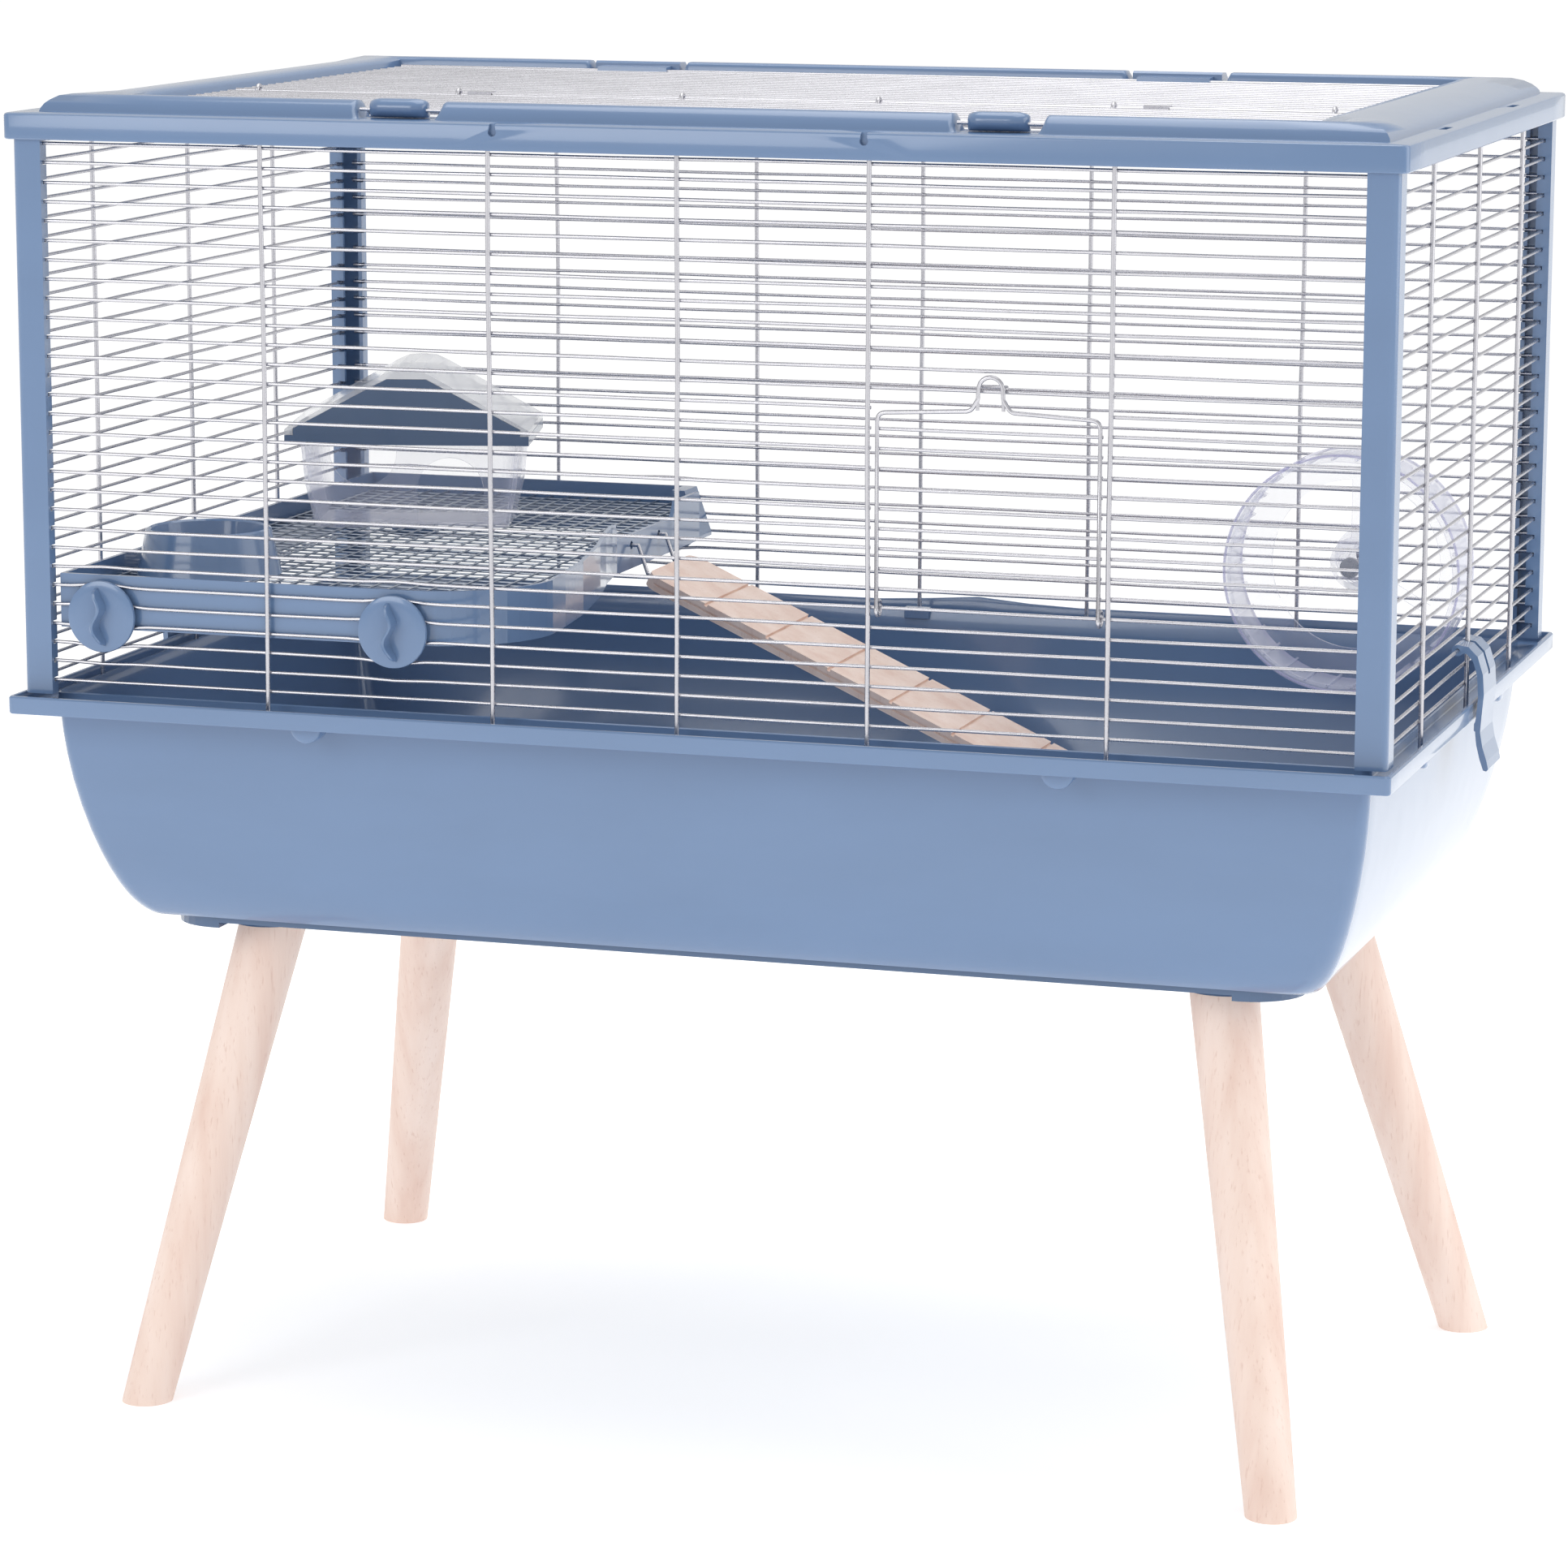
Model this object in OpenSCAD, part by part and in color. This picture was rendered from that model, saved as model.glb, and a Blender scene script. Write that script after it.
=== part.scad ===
// Small-rodent cage on four splayed wooden legs.
// X runs left to right along the front, Y from front to back, Z up; the floor is Z = 0.

/* [Cage] */
// Width of the roof rim, left to right
cage_w = 775; // [760:1:790]
// Depth of the roof rim, front to back
roof_d = 475; // [473:1:478]
// Height of the roof rim's flat top above the floor
roof_z = 732.7; // [728:0.1:738]
// Height of the bin's rim above the floor
rim_z = 412.6; // [411:0.1:414]
// Depth of the bin's rim, front to back
bin_rim_d = 494.6; // [492:0.2:500]
// Height of the bin, rim to underside
bin_h = 131.6; // [125:0.1:133]

/* [Wire] */
// Centre of the highest horizontal wire
row_top = 716.2; // [715:0.1:717]
// Distance from one horizontal wire to the next
row_pitch = 10.556; // [10.4:0.001:10.6]
// Radius of the horizontal wires
row_r = 0.95; // [0.8:0.05:1]
// Radius of the upright wires
upright_r = 1.35; // [1.2:0.05:1.5]

/* [Door] */
// Centre of the door's left side wire
door_left = 109.4; // [109:0.1:112]
// Centre of the door's right side wire
door_right = 229.4; // [225:0.1:232]
// Radius of the door's frame wire
door_r = 1.15; // [1:0.05:1.3]

/* [Legs] */
// Radius of a leg at the top
leg_top_r = 19; // [17:0.5:20]
// Radius of a leg at the foot
leg_foot_r = 14; // [12:0.5:16]
// Foot centre, from the middle of the cage, left to right
foot_x = 335; // [325:1:345]
// Foot centre, from the middle of the cage, front to back
foot_y = 205; // [195:1:215]
// How far each leg leans outwards, left to right
lean_x = 56; // [45:1:65]
// How far each leg leans outwards, front to back
lean_y = 70; // [60:1:80]

/* [Shelf] */
// Top of the shelf tray's wall
shelf_z = 480; // [478:0.5:482]
// Height of the shelf tray's wall
shelf_h = 30; // [29:0.5:31]
// Radius of a shelf knob's disc
knob_r = 20; // [16:0.5:21]

/* [Wheel] */
// Outer radius of the exercise wheel
wheel_r = 70.5; // [60:0.5:71]
// Width of the exercise wheel
wheel_w = 46; // [40:1:46]

/* [Hidden] */
$fn = 32;

blue = [0.46, 0.58, 0.75];
dark_blue = [0.27, 0.37, 0.53];
wire_grey = [0.82, 0.82, 0.84];
beech = [0.91, 0.80, 0.72];
clear = [0.93, 0.93, 0.97, 0.4];

// Shared places
hx_rim = cage_w / 2;
hy_rim = bin_rim_d / 2;
hy_roof = roof_d / 2;
bin_bottom = rim_z - bin_h;
plate_t = 3.5;
plate_top = bin_bottom - 0.2;
leg_top_z = plate_top - plate_t;
upright_y = 232;
upright_x = 380;
weld = 0.35;
row_y = upright_y - upright_r - row_r + weld;
row_x = upright_x - upright_r - row_r + weld;
rows = 29;
uprights_front = [-237.5, -107, -1.5, 104, 234.5];
uprights_left = [-138, -7, 119];
uprights_right = [-129, 3, 136];
post_x = hx_rim - 4.5;
post_y = hy_roof - 3.3;
post_w = 17;
post_t = 2.5;
row_end_x = post_x - 10;
row_end_y = post_y - 10;

// Rows cut away behind the door, and the rows its hook and hinge rings use
door_first = 12;
door_last = 21;
door_ring_r = 4;
door_y = row_y + door_ring_r - 0.4;
door_hinge_row = 22;

// Height of the centre of horizontal wire k, counted down from the top
function row_z(k) = row_top - row_pitch * k;

// Corner points of a rectangle with half sizes hx, hy and corner radius r
function rounded(hx, hy, r, n = 8) = [
    for (q = [0:3]) for (i = [0:n])
        let (a = 90 * q + 90 * i / n,
            sx = (q == 0 || q == 3) ? 1 : -1,
            sy = q < 2 ? 1 : -1)
        [sx * (hx - r) + r * cos(a), sy * (hy - r) + r * sin(a)]];

// Straight wires along each axis
module wire_x(x0, x1, y, z, r) {
    translate([x0, y, z]) rotate([0, 90, 0]) cylinder(h = x1 - x0, r = r);
}
module wire_y(x, y0, y1, z, r) {
    translate([x, y0, z]) rotate([-90, 0, 0]) cylinder(h = y1 - y0, r = r);
}
module wire_z(x, y, z0, z1, r) {
    translate([x, y, z0]) cylinder(h = z1 - z0, r = r);
}

// Outline in Y and Z drawn out along X, centred on X = 0
module along_x(length) {
    translate([-length / 2, 0, 0]) rotate([90, 0, 90]) linear_extrude(length) children();
}
// Outline in X and Z drawn out along Y, centred on Y = 0
module along_y(length) {
    translate([0, length / 2, 0]) rotate([90, 0, 0]) linear_extrude(length) children();
}

// ---------------------------------------------------------------- stand

// Legs in the order front left, front right, back left, back right, and how far each
// one's foot and head sit off their even places
leg_side = [[-1, -1], [1, -1], [-1, 1], [1, 1]];
foot_off = [[2.5, 3.3], [-10.6, -2.2], [-1.6, 3.2], [21.7, -28.2]];
head_off = [[2.8, 0], [-2.4, 0], [-3.5, 0], [-4, 0]];
function leg_foot(i) = [leg_side[i][0] * foot_x, leg_side[i][1] * foot_y] + foot_off[i];
function leg_head(i) = head_off[i]
    + [leg_side[i][0] * (foot_x - lean_x), leg_side[i][1] * (foot_y - lean_y)];
function leg_lean(i) = leg_head(i) - leg_foot(i);
function leg_l(i) = norm([norm(leg_lean(i)), leg_top_z]);

// A leg's own frame, with Z along its axis from the foot
module leg_frame(i) {
    d = leg_lean(i);
    translate(concat(leg_foot(i), 0)) rotate([0, 0, atan2(d[1], d[0])])
        rotate([0, atan2(norm(d), leg_top_z), 0]) children();
}
// Slab round one leg between two heights
module leg_slab(i, z0, z1) {
    translate([leg_foot(i)[0] - 140, leg_foot(i)[1] - 140, z0]) cube([280, 280, z1 - z0]);
}

screw_spread = 9;
screw_r = 2.2;
screw_l = 34;
// Pilot holes or screws in the head of one leg, side by side across its lean
module leg_screw_pair(i, r, head_r, top) {
    d = leg_lean(i) / norm(leg_lean(i));
    for (side = [-1, 1]) {
        at = leg_head(i) + side * screw_spread * [-d[1], d[0]];
        translate([at[0], at[1], top - screw_l]) cylinder(h = screw_l - 2.5, r = r);
        translate([at[0], at[1], top - 2.5]) cylinder(h = 2.5, r1 = r, r2 = head_r);
    }
}

leg_over = 30;
module leg(i) {
    grow = leg_over * (leg_top_r - leg_foot_r) / leg_l(i);
    color(beech) difference() {
        intersection() {
            leg_frame(i) translate([0, 0, -leg_over])
                cylinder(h = leg_l(i) + 2 * leg_over, r1 = leg_foot_r - grow, r2 = leg_top_r + grow);
            leg_slab(i, 0, leg_top_z);
        }
        leg_screw_pair(i, screw_r + 0.05, screw_r + 0.05, plate_top - 0.3);
    }
}

plate_hx = 326;
plate_hy = 181;
plate_end_x = 292;
plate_end_t = 3;
module stand_plate() {
    color(dark_blue) difference() {
        union() {
            difference() {
                translate([0, 0, leg_top_z - plate_end_t]) linear_extrude(plate_t + plate_end_t)
                    polygon(rounded(plate_hx, plate_hy, 30));
                translate([-plate_end_x, -plate_hy - 1, leg_top_z - plate_end_t - 1])
                    cube([2 * plate_end_x, 2 * plate_hy + 2, plate_end_t + 1]);
            }
            for (i = [0:3]) leg_collar(i);
        }
        for (i = [0:3]) {
            leg_screw_pair(i, screw_r + 0.15, 4.65, plate_top);
            intersection() {
                leg_frame(i) cylinder(h = leg_l(i) + 2 * leg_over, r = leg_top_r + 0.6);
                leg_slab(i, 0, leg_top_z);
            }
        }
    }
}

// Short ring under the plate that the leg's head sits in
collar_h = 6;
module leg_collar(i) {
    intersection() {
        leg_frame(i) cylinder(h = leg_l(i) + leg_over, r = leg_top_r + 3.5);
        leg_slab(i, leg_top_z - collar_h, leg_top_z + 1);
    }
}

module leg_screws() {
    color(wire_grey) for (i = [0:3]) leg_screw_pair(i, screw_r, 4.4, plate_top - 0.1);
}

// ---------------------------------------------------------------- bin

bin_wall = 2.6;
bin_top_hx = 371;
bin_top_hy = 218.8;
bin_top_r = 5;
rim_r = 3;
lip_t = 2.8;
lip_h = 9.8;
flange_z = rim_z - 6.4;

// How far the bin's body has drawn in, and its corner radius, at a share t of the way down
function bin_in(t) = 2 * t + 25 * pow(t, 2) + 4 * pow(t, 8) + 3 * pow(t, 24);
function bin_r(t) = bin_top_r + 9 * t;

// Tapered body with rounded foot, drawn inwards by inset
module bin_body(inset, floor_t) {
    depth = flange_z - bin_bottom - floor_t;
    hull() for (t = [0, 0.25, 0.5, 0.7, 0.85, 0.93, 0.97, 1]) {
        hx = bin_top_hx - bin_in(t) - inset;
        hy = bin_top_hy - bin_in(t) - inset;
        translate([0, 0, flange_z - depth * t - (t == 1 ? 0 : 0.1)]) linear_extrude(0.1)
            polygon(rounded(hx, hy, bin_r(t) - inset, 6));
    }
}

peg_x = [-213, 210];
arch_w = 110;
arch_x = 30;
module bin() {
    color(blue) {
        difference() {
            union() {
                bin_body(0, 0);
                translate([0, 0, flange_z - 2.8]) linear_extrude(2.8)
                    polygon(rounded(hx_rim, hy_rim, rim_r));
                translate([0, 0, flange_z]) linear_extrude(rim_z - flange_z - 1)
                    polygon(rounded(bin_top_hx + 0.6, bin_top_hy + 0.6, bin_top_r + 0.6));
            }
            bin_body(bin_wall, 3);
            translate([0, 0, flange_z - 3.1]) linear_extrude(20)
                polygon(rounded(bin_top_hx - bin_wall, bin_top_hy - bin_wall, bin_top_r - bin_wall));
        }
        bin_lip();
        for (sx = [-1, 1]) for (sy = [-1, 1]) scale([sx, sy, 1]) post_seat();
        for (x = peg_x) for (sy = [-1, 1]) rim_peg([x, sy * (hy_rim - 9), 0], 0);
        for (y = [-120, 100]) for (sx = [-1, 1]) rim_peg([sx * (hx_rim - 7), y, 0], 90);
    }
}

// Outer lip of the rim, with a gentle arch at the back
module bin_lip() {
    translate([0, 0, rim_z - lip_h]) difference() {
        union() {
            linear_extrude(lip_h) polygon(rounded(hx_rim, hy_rim, rim_r));
            translate([arch_x, hy_rim - lip_t, 0]) rotate([90, 0, 180])
                linear_extrude(lip_t) back_arch();
        }
        translate([0, 0, -1]) linear_extrude(lip_h + 2)
            polygon(rounded(hx_rim - lip_t, hy_rim - lip_t, 0.6));
    }
}
arch_rise = 4;
module back_arch() {
    polygon([for (i = [-12:12]) [i * arch_w / 24, lip_h + arch_rise * (0.5 + 0.5 * cos(i * 15))],
        [arch_w / 2, 1], [-arch_w / 2, 1]]);
}

// Block on the rim that a corner post stands on
module post_seat() {
    translate([post_x - 16, post_y - 16, flange_z - 0.5])
        cube([16, 16, rim_z - flange_z]);
}

// Rounded peg under the rim
module rim_peg(at, turn) {
    translate([at[0], at[1], flange_z - 2.8]) rotate([0, 0, turn]) difference() {
        rotate([90, 0, 0]) translate([0, 0, -3.5]) cylinder(h = 7, r = 10);
        translate([-20, -20, 0]) cube([40, 40, 20]);
    }
}

// ---------------------------------------------------------------- cage frame

roof_plate = 2.8;
skirt_h = 14.2;
ridge_top = roof_z + 9.3;
open_hx = 330;
open_front = -198;
open_back = 204;
ledge = 8;

module roof_frame() {
    color(blue) difference() {
        union() {
            roof_skirt();
            front_ridge();
            back_ridge();
            for (sx = [-1, 1]) scale([sx, 1, 1]) side_ridge();
        }
        roof_cuts();
    }
}

module roof_skirt() {
    difference() {
        translate([0, 0, roof_z - skirt_h]) linear_extrude(skirt_h)
            polygon(rounded(hx_rim, hy_roof, 5));
        translate([0, 0, roof_z - skirt_h - 1]) linear_extrude(skirt_h + 1 - roof_plate)
            polygon(rounded(hx_rim - 3, hy_roof - 3, 2));
        translate([-open_hx + ledge, open_front + ledge, roof_z - skirt_h - 1])
            cube([2 * (open_hx - ledge), open_back - open_front - 2 * ledge, skirt_h + 2]);
    }
}

ridge_in = 0.4;
module front_ridge() {
    along_x(2 * hx_rim - 32) polygon([[open_front - 20, roof_z - ridge_in],
        [open_front - 18, roof_z + 3.2], [open_front - 12.5, ridge_top - 1.2],
        [open_front - 9, ridge_top], [open_front - 2.5, ridge_top - 0.8],
        [open_front, ridge_top - 3], [open_front, roof_z - ridge_in]]);
}
module back_ridge() {
    along_x(2 * hx_rim - 32) polygon([[open_back, roof_z - ridge_in],
        [open_back + 0.6, ridge_top - 1.2], [open_back + 3, ridge_top],
        [open_back + 12, ridge_top - 0.4], [open_back + 19, roof_z + 4],
        [open_back + 22, roof_z - ridge_in]]);
}
module side_ridge() {
    along_y(2 * hy_roof - 34) polygon(concat([[open_hx, roof_z - ridge_in],
        [open_hx, ridge_top - 3], [open_hx + 3, ridge_top - 0.5]],
        [for (i = [0:8]) [open_hx + 9 + 35 * sin(i * 11.25),
            roof_z + (ridge_top - roof_z) * cos(i * 11.25)]],
        [[open_hx + 44, roof_z - ridge_in]]));
}

latch_x = [-166, 167];
latch_gap = 42;
latch_gap_shift = 2;
hinge_x = [-175, 162];
hinge_gap = 62;
module roof_cuts() {
    for (x = latch_x) translate([x - latch_gap / 2 + latch_gap_shift, open_front - 21, roof_z])
        cube([latch_gap, 22, 12]);
    for (x = latch_x) wire_x(x + latch_gap_shift - 24.3, x + latch_gap_shift + 24.3,
        latch_axis[0], latch_axis[1], 1.02);
    for (x = hinge_x) translate([x - hinge_gap / 2, open_back - 1, roof_z])
        cube([hinge_gap, 24, 12]);
    for (sx = [-1, 1]) for (y = [-112, 88])
        translate([sx * (hx_rim - 7) - 2, y, roof_z - roof_plate - 1]) cube([4, 20, 6]);
    for (x = [-102.5, 102.5]) translate([x, -hy_roof - 1, roof_z - 4]) {
        rotate([-90, 0, 0]) cylinder(h = 5, r = 2.4);
        translate([-1.2, 0, 0]) cube([2.4, 5, 6]);
    }
}

// Corner post for the front right corner: an angle section with a comb on each edge
module post_shape() {
    difference() {
        translate([post_x - post_w, -post_y]) square(post_w);
        translate([post_x - post_w - 1, -post_y + post_t]) square([post_w - post_t + 1, post_w]);
        post_corner();
    }
    translate([post_x - post_w, -post_y]) square([post_t, 7.6]);
    translate([post_x - 8.2, -post_y + post_w - post_t]) square([8.2, post_t]);
}
corner_r = 4;
module post_corner() {
    translate([post_x - corner_r, -post_y + corner_r]) difference() {
        translate([0, -corner_r - 1]) square([corner_r + 1, corner_r + 1]);
        circle(corner_r);
    }
}

slot = 2.4;
module post(sx, sy) {
    color(blue) scale([sx, -sy, 1]) difference() {
        translate([0, 0, rim_z + 0.2]) linear_extrude(roof_z - roof_plate - rim_z - 0.5)
            post_shape();
        for (k = [0:rows - 1]) {
            translate([post_x - post_w - 1, -row_y - slot / 2, row_z(k) - slot / 2])
                cube([post_t + 2, 10, slot]);
            translate([row_x - 10, -post_y + post_w - post_t - 1, row_z(k) - slot / 2])
                cube([10 + slot / 2, post_t + 2, slot]);
        }
    }
}

upright_bottom = flange_z + 0.3;
upright_top = roof_z - roof_plate - 0.3;

module panel_front() {
    color(wire_grey) {
        for (x = uprights_front)
            wire_z(x, -upright_y, upright_bottom, upright_top, upright_r);
        for (k = [0:rows - 1])
            if (k < door_first || k > door_last) wire_x(-row_end_x, row_end_x, -row_y, row_z(k), row_r);
            else {
                wire_x(-row_end_x, uprights_front[3] + 1, -row_y, row_z(k), row_r);
                wire_x(uprights_front[4] - 1, row_end_x, -row_y, row_z(k), row_r);
            }
    }
}

module panel_back() {
    color(wire_grey) {
        for (x = uprights_front)
            wire_z(x, upright_y, upright_bottom, upright_top, upright_r);
        for (k = [0:rows - 1]) wire_x(-row_end_x, row_end_x, row_y, row_z(k), row_r);
    }
}

module panel_side(sx) {
    color(wire_grey) {
        for (y = sx < 0 ? uprights_left : uprights_right)
            wire_z(sx * upright_x, y, upright_bottom, upright_top, upright_r);
        for (k = [0:rows - 1]) wire_y(sx * row_x, -row_end_y, row_end_y, row_z(k), row_r);
    }
}

// ---------------------------------------------------------------- roof lid

lid_hx = 326;
lid_cross_r = 1.3;
lid_cross_z = roof_z + 1.6;
lid_z = lid_cross_z + lid_cross_r + row_r - weld;
lid_hinge_y = 197;
lid_hinge_r = 1.5;
lid_split = -58;
lid_pitch = (lid_hinge_y - lid_split) / 22;
lid_cross_x = [-322, -200, -67, 67, 200, 322];
flap_front = -191;
flap_step = 10;

module lid_rear() {
    color(wire_grey) {
        wire_x(-lid_hx, lid_hx, lid_hinge_y, lid_z, lid_hinge_r);
        for (i = [1:21]) wire_x(-lid_hx, lid_hx, lid_hinge_y - i * lid_pitch, lid_z, row_r);
        wire_x(-lid_hx, lid_hx, lid_split, lid_z, lid_cross_r);
        for (x = lid_cross_x) wire_y(x, lid_split - 0.5, lid_hinge_y + 0.5, lid_cross_z, lid_cross_r);
    }
}

// Small flat clips folded round the lid's front wire
module lid_clips() {
    color(wire_grey) for (x = [-177, 214]) translate([x, 0, 0]) difference() {
        translate([-7, lid_split - 2.6, lid_z - 2.3]) cube([14, 9, 4.6]);
        translate([-8, lid_split - 1.6, lid_z - 1.5]) cube([16, 12, 3]);
        wire_x(-9, 9, lid_split, lid_z, lid_cross_r + 0.05);
    }
}

module lid_front() {
    color(wire_grey) {
        wire_x(-lid_hx, lid_hx, flap_front, lid_z, lid_cross_r);
        for (i = [1:11]) wire_x(-lid_hx, lid_hx, lid_split - 1 - i * 11, lid_z, row_r);
        for (x = lid_cross_x) {
            at = x + (x < 0 ? flap_step : -flap_step);
            wire_y(at, flap_front, lid_split - 4.5, lid_cross_z, lid_cross_r);
            translate([at, lid_split, lid_z]) flap_ring();
        }
    }
}

// Ring that a wire of the flap makes round the lid's front wire
ring_r = 3;
module flap_ring() {
    rotate([0, 90, 0]) rotate_extrude() translate([ring_r, 0]) circle(1.1);
    translate([0, -5.5, lid_cross_z - lid_z]) rotate([-90, 0, 0]) cylinder(h = 3.2, r = 1.1);
}

hinge_w = 54;
// Caps in the back ridge that hold the lid's hinge wire
module lid_hinges() {
    color(blue) for (x = hinge_x) translate([x, 0, 0]) difference() {
        union() {
            along_x(hinge_w) polygon([[open_back + 0.4, roof_z + 0.1],
                [open_back + 1, ridge_top - 1.2], [open_back + 3, ridge_top],
                [open_back + 12, ridge_top - 0.4], [open_back + 19, roof_z + 4],
                [open_back + 21.4, roof_z + 0.1]]);
            along_x(44) polygon([[lid_hinge_y - 3.4, lid_z - 1.2],
                [lid_hinge_y - 2.6, lid_z + 2.8], [open_back + 2, lid_z + 3.4],
                [open_back + 2, roof_z + 0.3], [lid_hinge_y - 2, roof_z + 0.3]]);
        }
        wire_x(-hinge_w, hinge_w, lid_hinge_y, lid_z, lid_hinge_r + 0.1);
    }
}

latch_w = 33;
latch_axis = [open_front - 12.5, roof_z + 4.6];
module latch(x) {
    color(blue) translate([x, 0, 0]) difference() {
        union() {
            along_x(latch_w) polygon([[open_front - 12.5, roof_z + 0.6],
                [open_front - 16, roof_z + 1.6], [open_front - 17.5, roof_z + 4.6],
                [open_front - 15, roof_z + 8.8],
                [open_front - 10, roof_z + 10.4], [open_front - 3, roof_z + 9.8],
                [open_front - 1, roof_z + 7.5], [open_front - 1, roof_z + 0.5]]);
            along_x(16) polygon([[open_front - 2, roof_z + 5], [open_front - 2, roof_z + 8],
                [open_front + 3.6, roof_z + 7], [open_front + 5, roof_z + 5]]);
        }
        wire_x(-30, 30, latch_axis[0], latch_axis[1], 1.05);
    }
}

module latch_pins() {
    color(wire_grey) for (x = latch_x)
        wire_x(x + latch_gap_shift - 24, x + latch_gap_shift + 24, latch_axis[0], latch_axis[1], 1);
}

// ---------------------------------------------------------------- door

// Ring of the door round the wire it turns on
module door_ring() {
    difference() {
        cylinder(h = 2 * door_r - 0.3, r = door_ring_r + door_r, center = true);
        cylinder(h = 4 * door_r, r = door_ring_r - door_r, center = true);
    }
}

door_top_z = row_z(door_first) - 1;
door_bend = 6;
hook_x = [163.7, 177.6];
hook_z = row_z(door_first - 1) + row_r + 1.35;
hook_reach = 7.5;
module door() {
    hinge_z = row_z(door_hinge_row);
    color(wire_grey) {
        for (x = [door_left, door_right]) {
            wire_z(x, -door_y, hinge_z, door_top_z - door_bend, door_r);
            translate([x, -row_y, hinge_z]) rotate([0, 90, 0]) door_ring();
        }
        for (side = [0, 1]) {
            x = side == 0 ? door_left + door_bend : door_right - door_bend;
            translate([x, -door_y, door_top_z - door_bend]) rotate([90, 0, 0])
                rotate([0, 0, side == 0 ? 90 : 0]) rotate_extrude(angle = 90)
                    translate([door_bend, 0]) circle(door_r);
        }
        wire_x(door_left + door_bend, door_right - door_bend, -door_y, door_top_z, door_r);
        for (k = [door_first + 1:door_last])
            wire_x(door_left - 1.2, door_right + 1.2, -door_y + door_r + row_r - weld, row_z(k), row_r);
        for (x = hook_x) {
            wire_z(x, -door_y, door_top_z, hook_z + row_r / 2, row_r);
            wire_y(x, -door_y - row_r / 2, -door_y + hook_reach + row_r / 2, hook_z, row_r - 0.1);
        }
        wire_x(hook_x[0] - row_r / 2, hook_x[1] + row_r / 2, -door_y + hook_reach, hook_z, row_r - 0.2);
    }
}

// ---------------------------------------------------------------- end clips

clip_row = 26;
clip_w = 38;
clip_slot = 4.6;
clip_ring_r = 3.2;
// Lever seen from the front, for the right end; the wire it turns on is at its own origin
module clip_shape() {
    polygon([[-0.5, 3.1], [6, 2.2], [11.2, -3], [14.4, -13], [15.2, -24], [14.2, -36],
        [13.6, -45], [15, -53], [17.6, -61], [18.6, -65.5], [17.6, -66.7], [15.8, -66.2],
        [13.6, -60], [11.6, -52], [10.9, -46], [10.8, -44.6], [10.1, -44.4], [10.1, -40.2],
        [10.6, -39.6], [11, -37.6], [12, -26], [11.2, -13.6], [8.6, -5.6], [5, -1.6],
        [2.8, -1.5]]);
}
// Clip on the end wall, forked round the middle upright at y
module clip(sx, y) {
    color(blue) scale([sx, 1, 1]) translate([row_x, y, row_z(clip_row)]) difference() {
        union() {
            along_y(clip_w) clip_shape();
            translate([0, -clip_w / 2, 0]) rotate([-90, 0, 0]) cylinder(h = clip_w, r = clip_ring_r);
        }
        translate([0, -clip_w, 0]) rotate([-90, 0, 0]) cylinder(h = 2 * clip_w, r = row_r + 0.1);
        translate([-5, -clip_slot / 2, -15]) cube([30, clip_slot, 30]);
    }
}

// ---------------------------------------------------------------- shelf

tray_left = -362.5;
tray_right = -135.5;
tray_hy = 228.4;
tray_t = 2.5;
bulge_c = [-157, -167];
bulge_r = 61.4;
bulge_side = [[-98, -140], [-103, -97], [-116, -32], [-128, 12], [-134, 40], [tray_right, 52]];
mesh_z = shelf_z - 11.4;

// Plan of the tray, drawn inwards by inset: a rectangle with a bulging front right corner
module tray_plan(inset) {
    polygon(concat([[tray_left + inset, tray_hy - inset], [tray_left + inset, -tray_hy + inset]],
        [for (i = [0:12]) bulge_c + (bulge_r - inset) * [sin(7.5 * i), -cos(7.5 * i)]],
        [for (p = bulge_side) p - [inset, 0]], [[tray_right - inset, tray_hy - inset]]));
}

mesh_top = mesh_z + 1.6;
block_w = 18;
block_l = 24;
module shelf_tray() {
    color(blue) difference() {
        union() {
            difference() {
                translate([0, 0, shelf_z - shelf_h]) linear_extrude(shelf_h) tray_plan(0);
                translate([0, 0, mesh_z]) linear_extrude(shelf_h) tray_plan(tray_t);
                translate([0, 0, shelf_z - shelf_h - 1]) linear_extrude(shelf_h - 12.5)
                    tray_plan(tray_t);
                translate([0, 0, shelf_z - shelf_h - 1]) linear_extrude(shelf_h + 2) tray_plan(14);
            }
            translate([tray_right - block_w, tray_hy - block_l, shelf_z - shelf_h])
                cube([block_w, block_l, shelf_h]);
        }
        // Slope on the block's outer side, and the lower wall where the ramp starts
        translate([0, tray_hy - block_l / 2 + 1, 0]) along_y(block_l + 2)
            polygon([[tray_right, shelf_z - shelf_h + 2], [tray_right + 1, shelf_z - shelf_h + 2],
                [tray_right + 1, shelf_z + 1], [tray_right - 10, shelf_z + 1]]);
        translate([tray_right, 0, 0]) along_x(12) polygon([[ramp_y - 16, shelf_z + 1],
            [ramp_y - 8, mesh_top + 0.3], [ramp_y + ramp_w + 6, mesh_top + 0.3],
            [ramp_y + ramp_w + 14, shelf_z + 1]]);
        for (x = knob_x) for (sy = [-1, 1]) knob_hole(x, sy);
        for (y = ramp_hook_y) translate([tray_right - 6, y, ramp_axis[1]]) rotate([0, 90, 0])
            cylinder(h = 12, r = hook_hole_r);
    }
}

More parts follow.
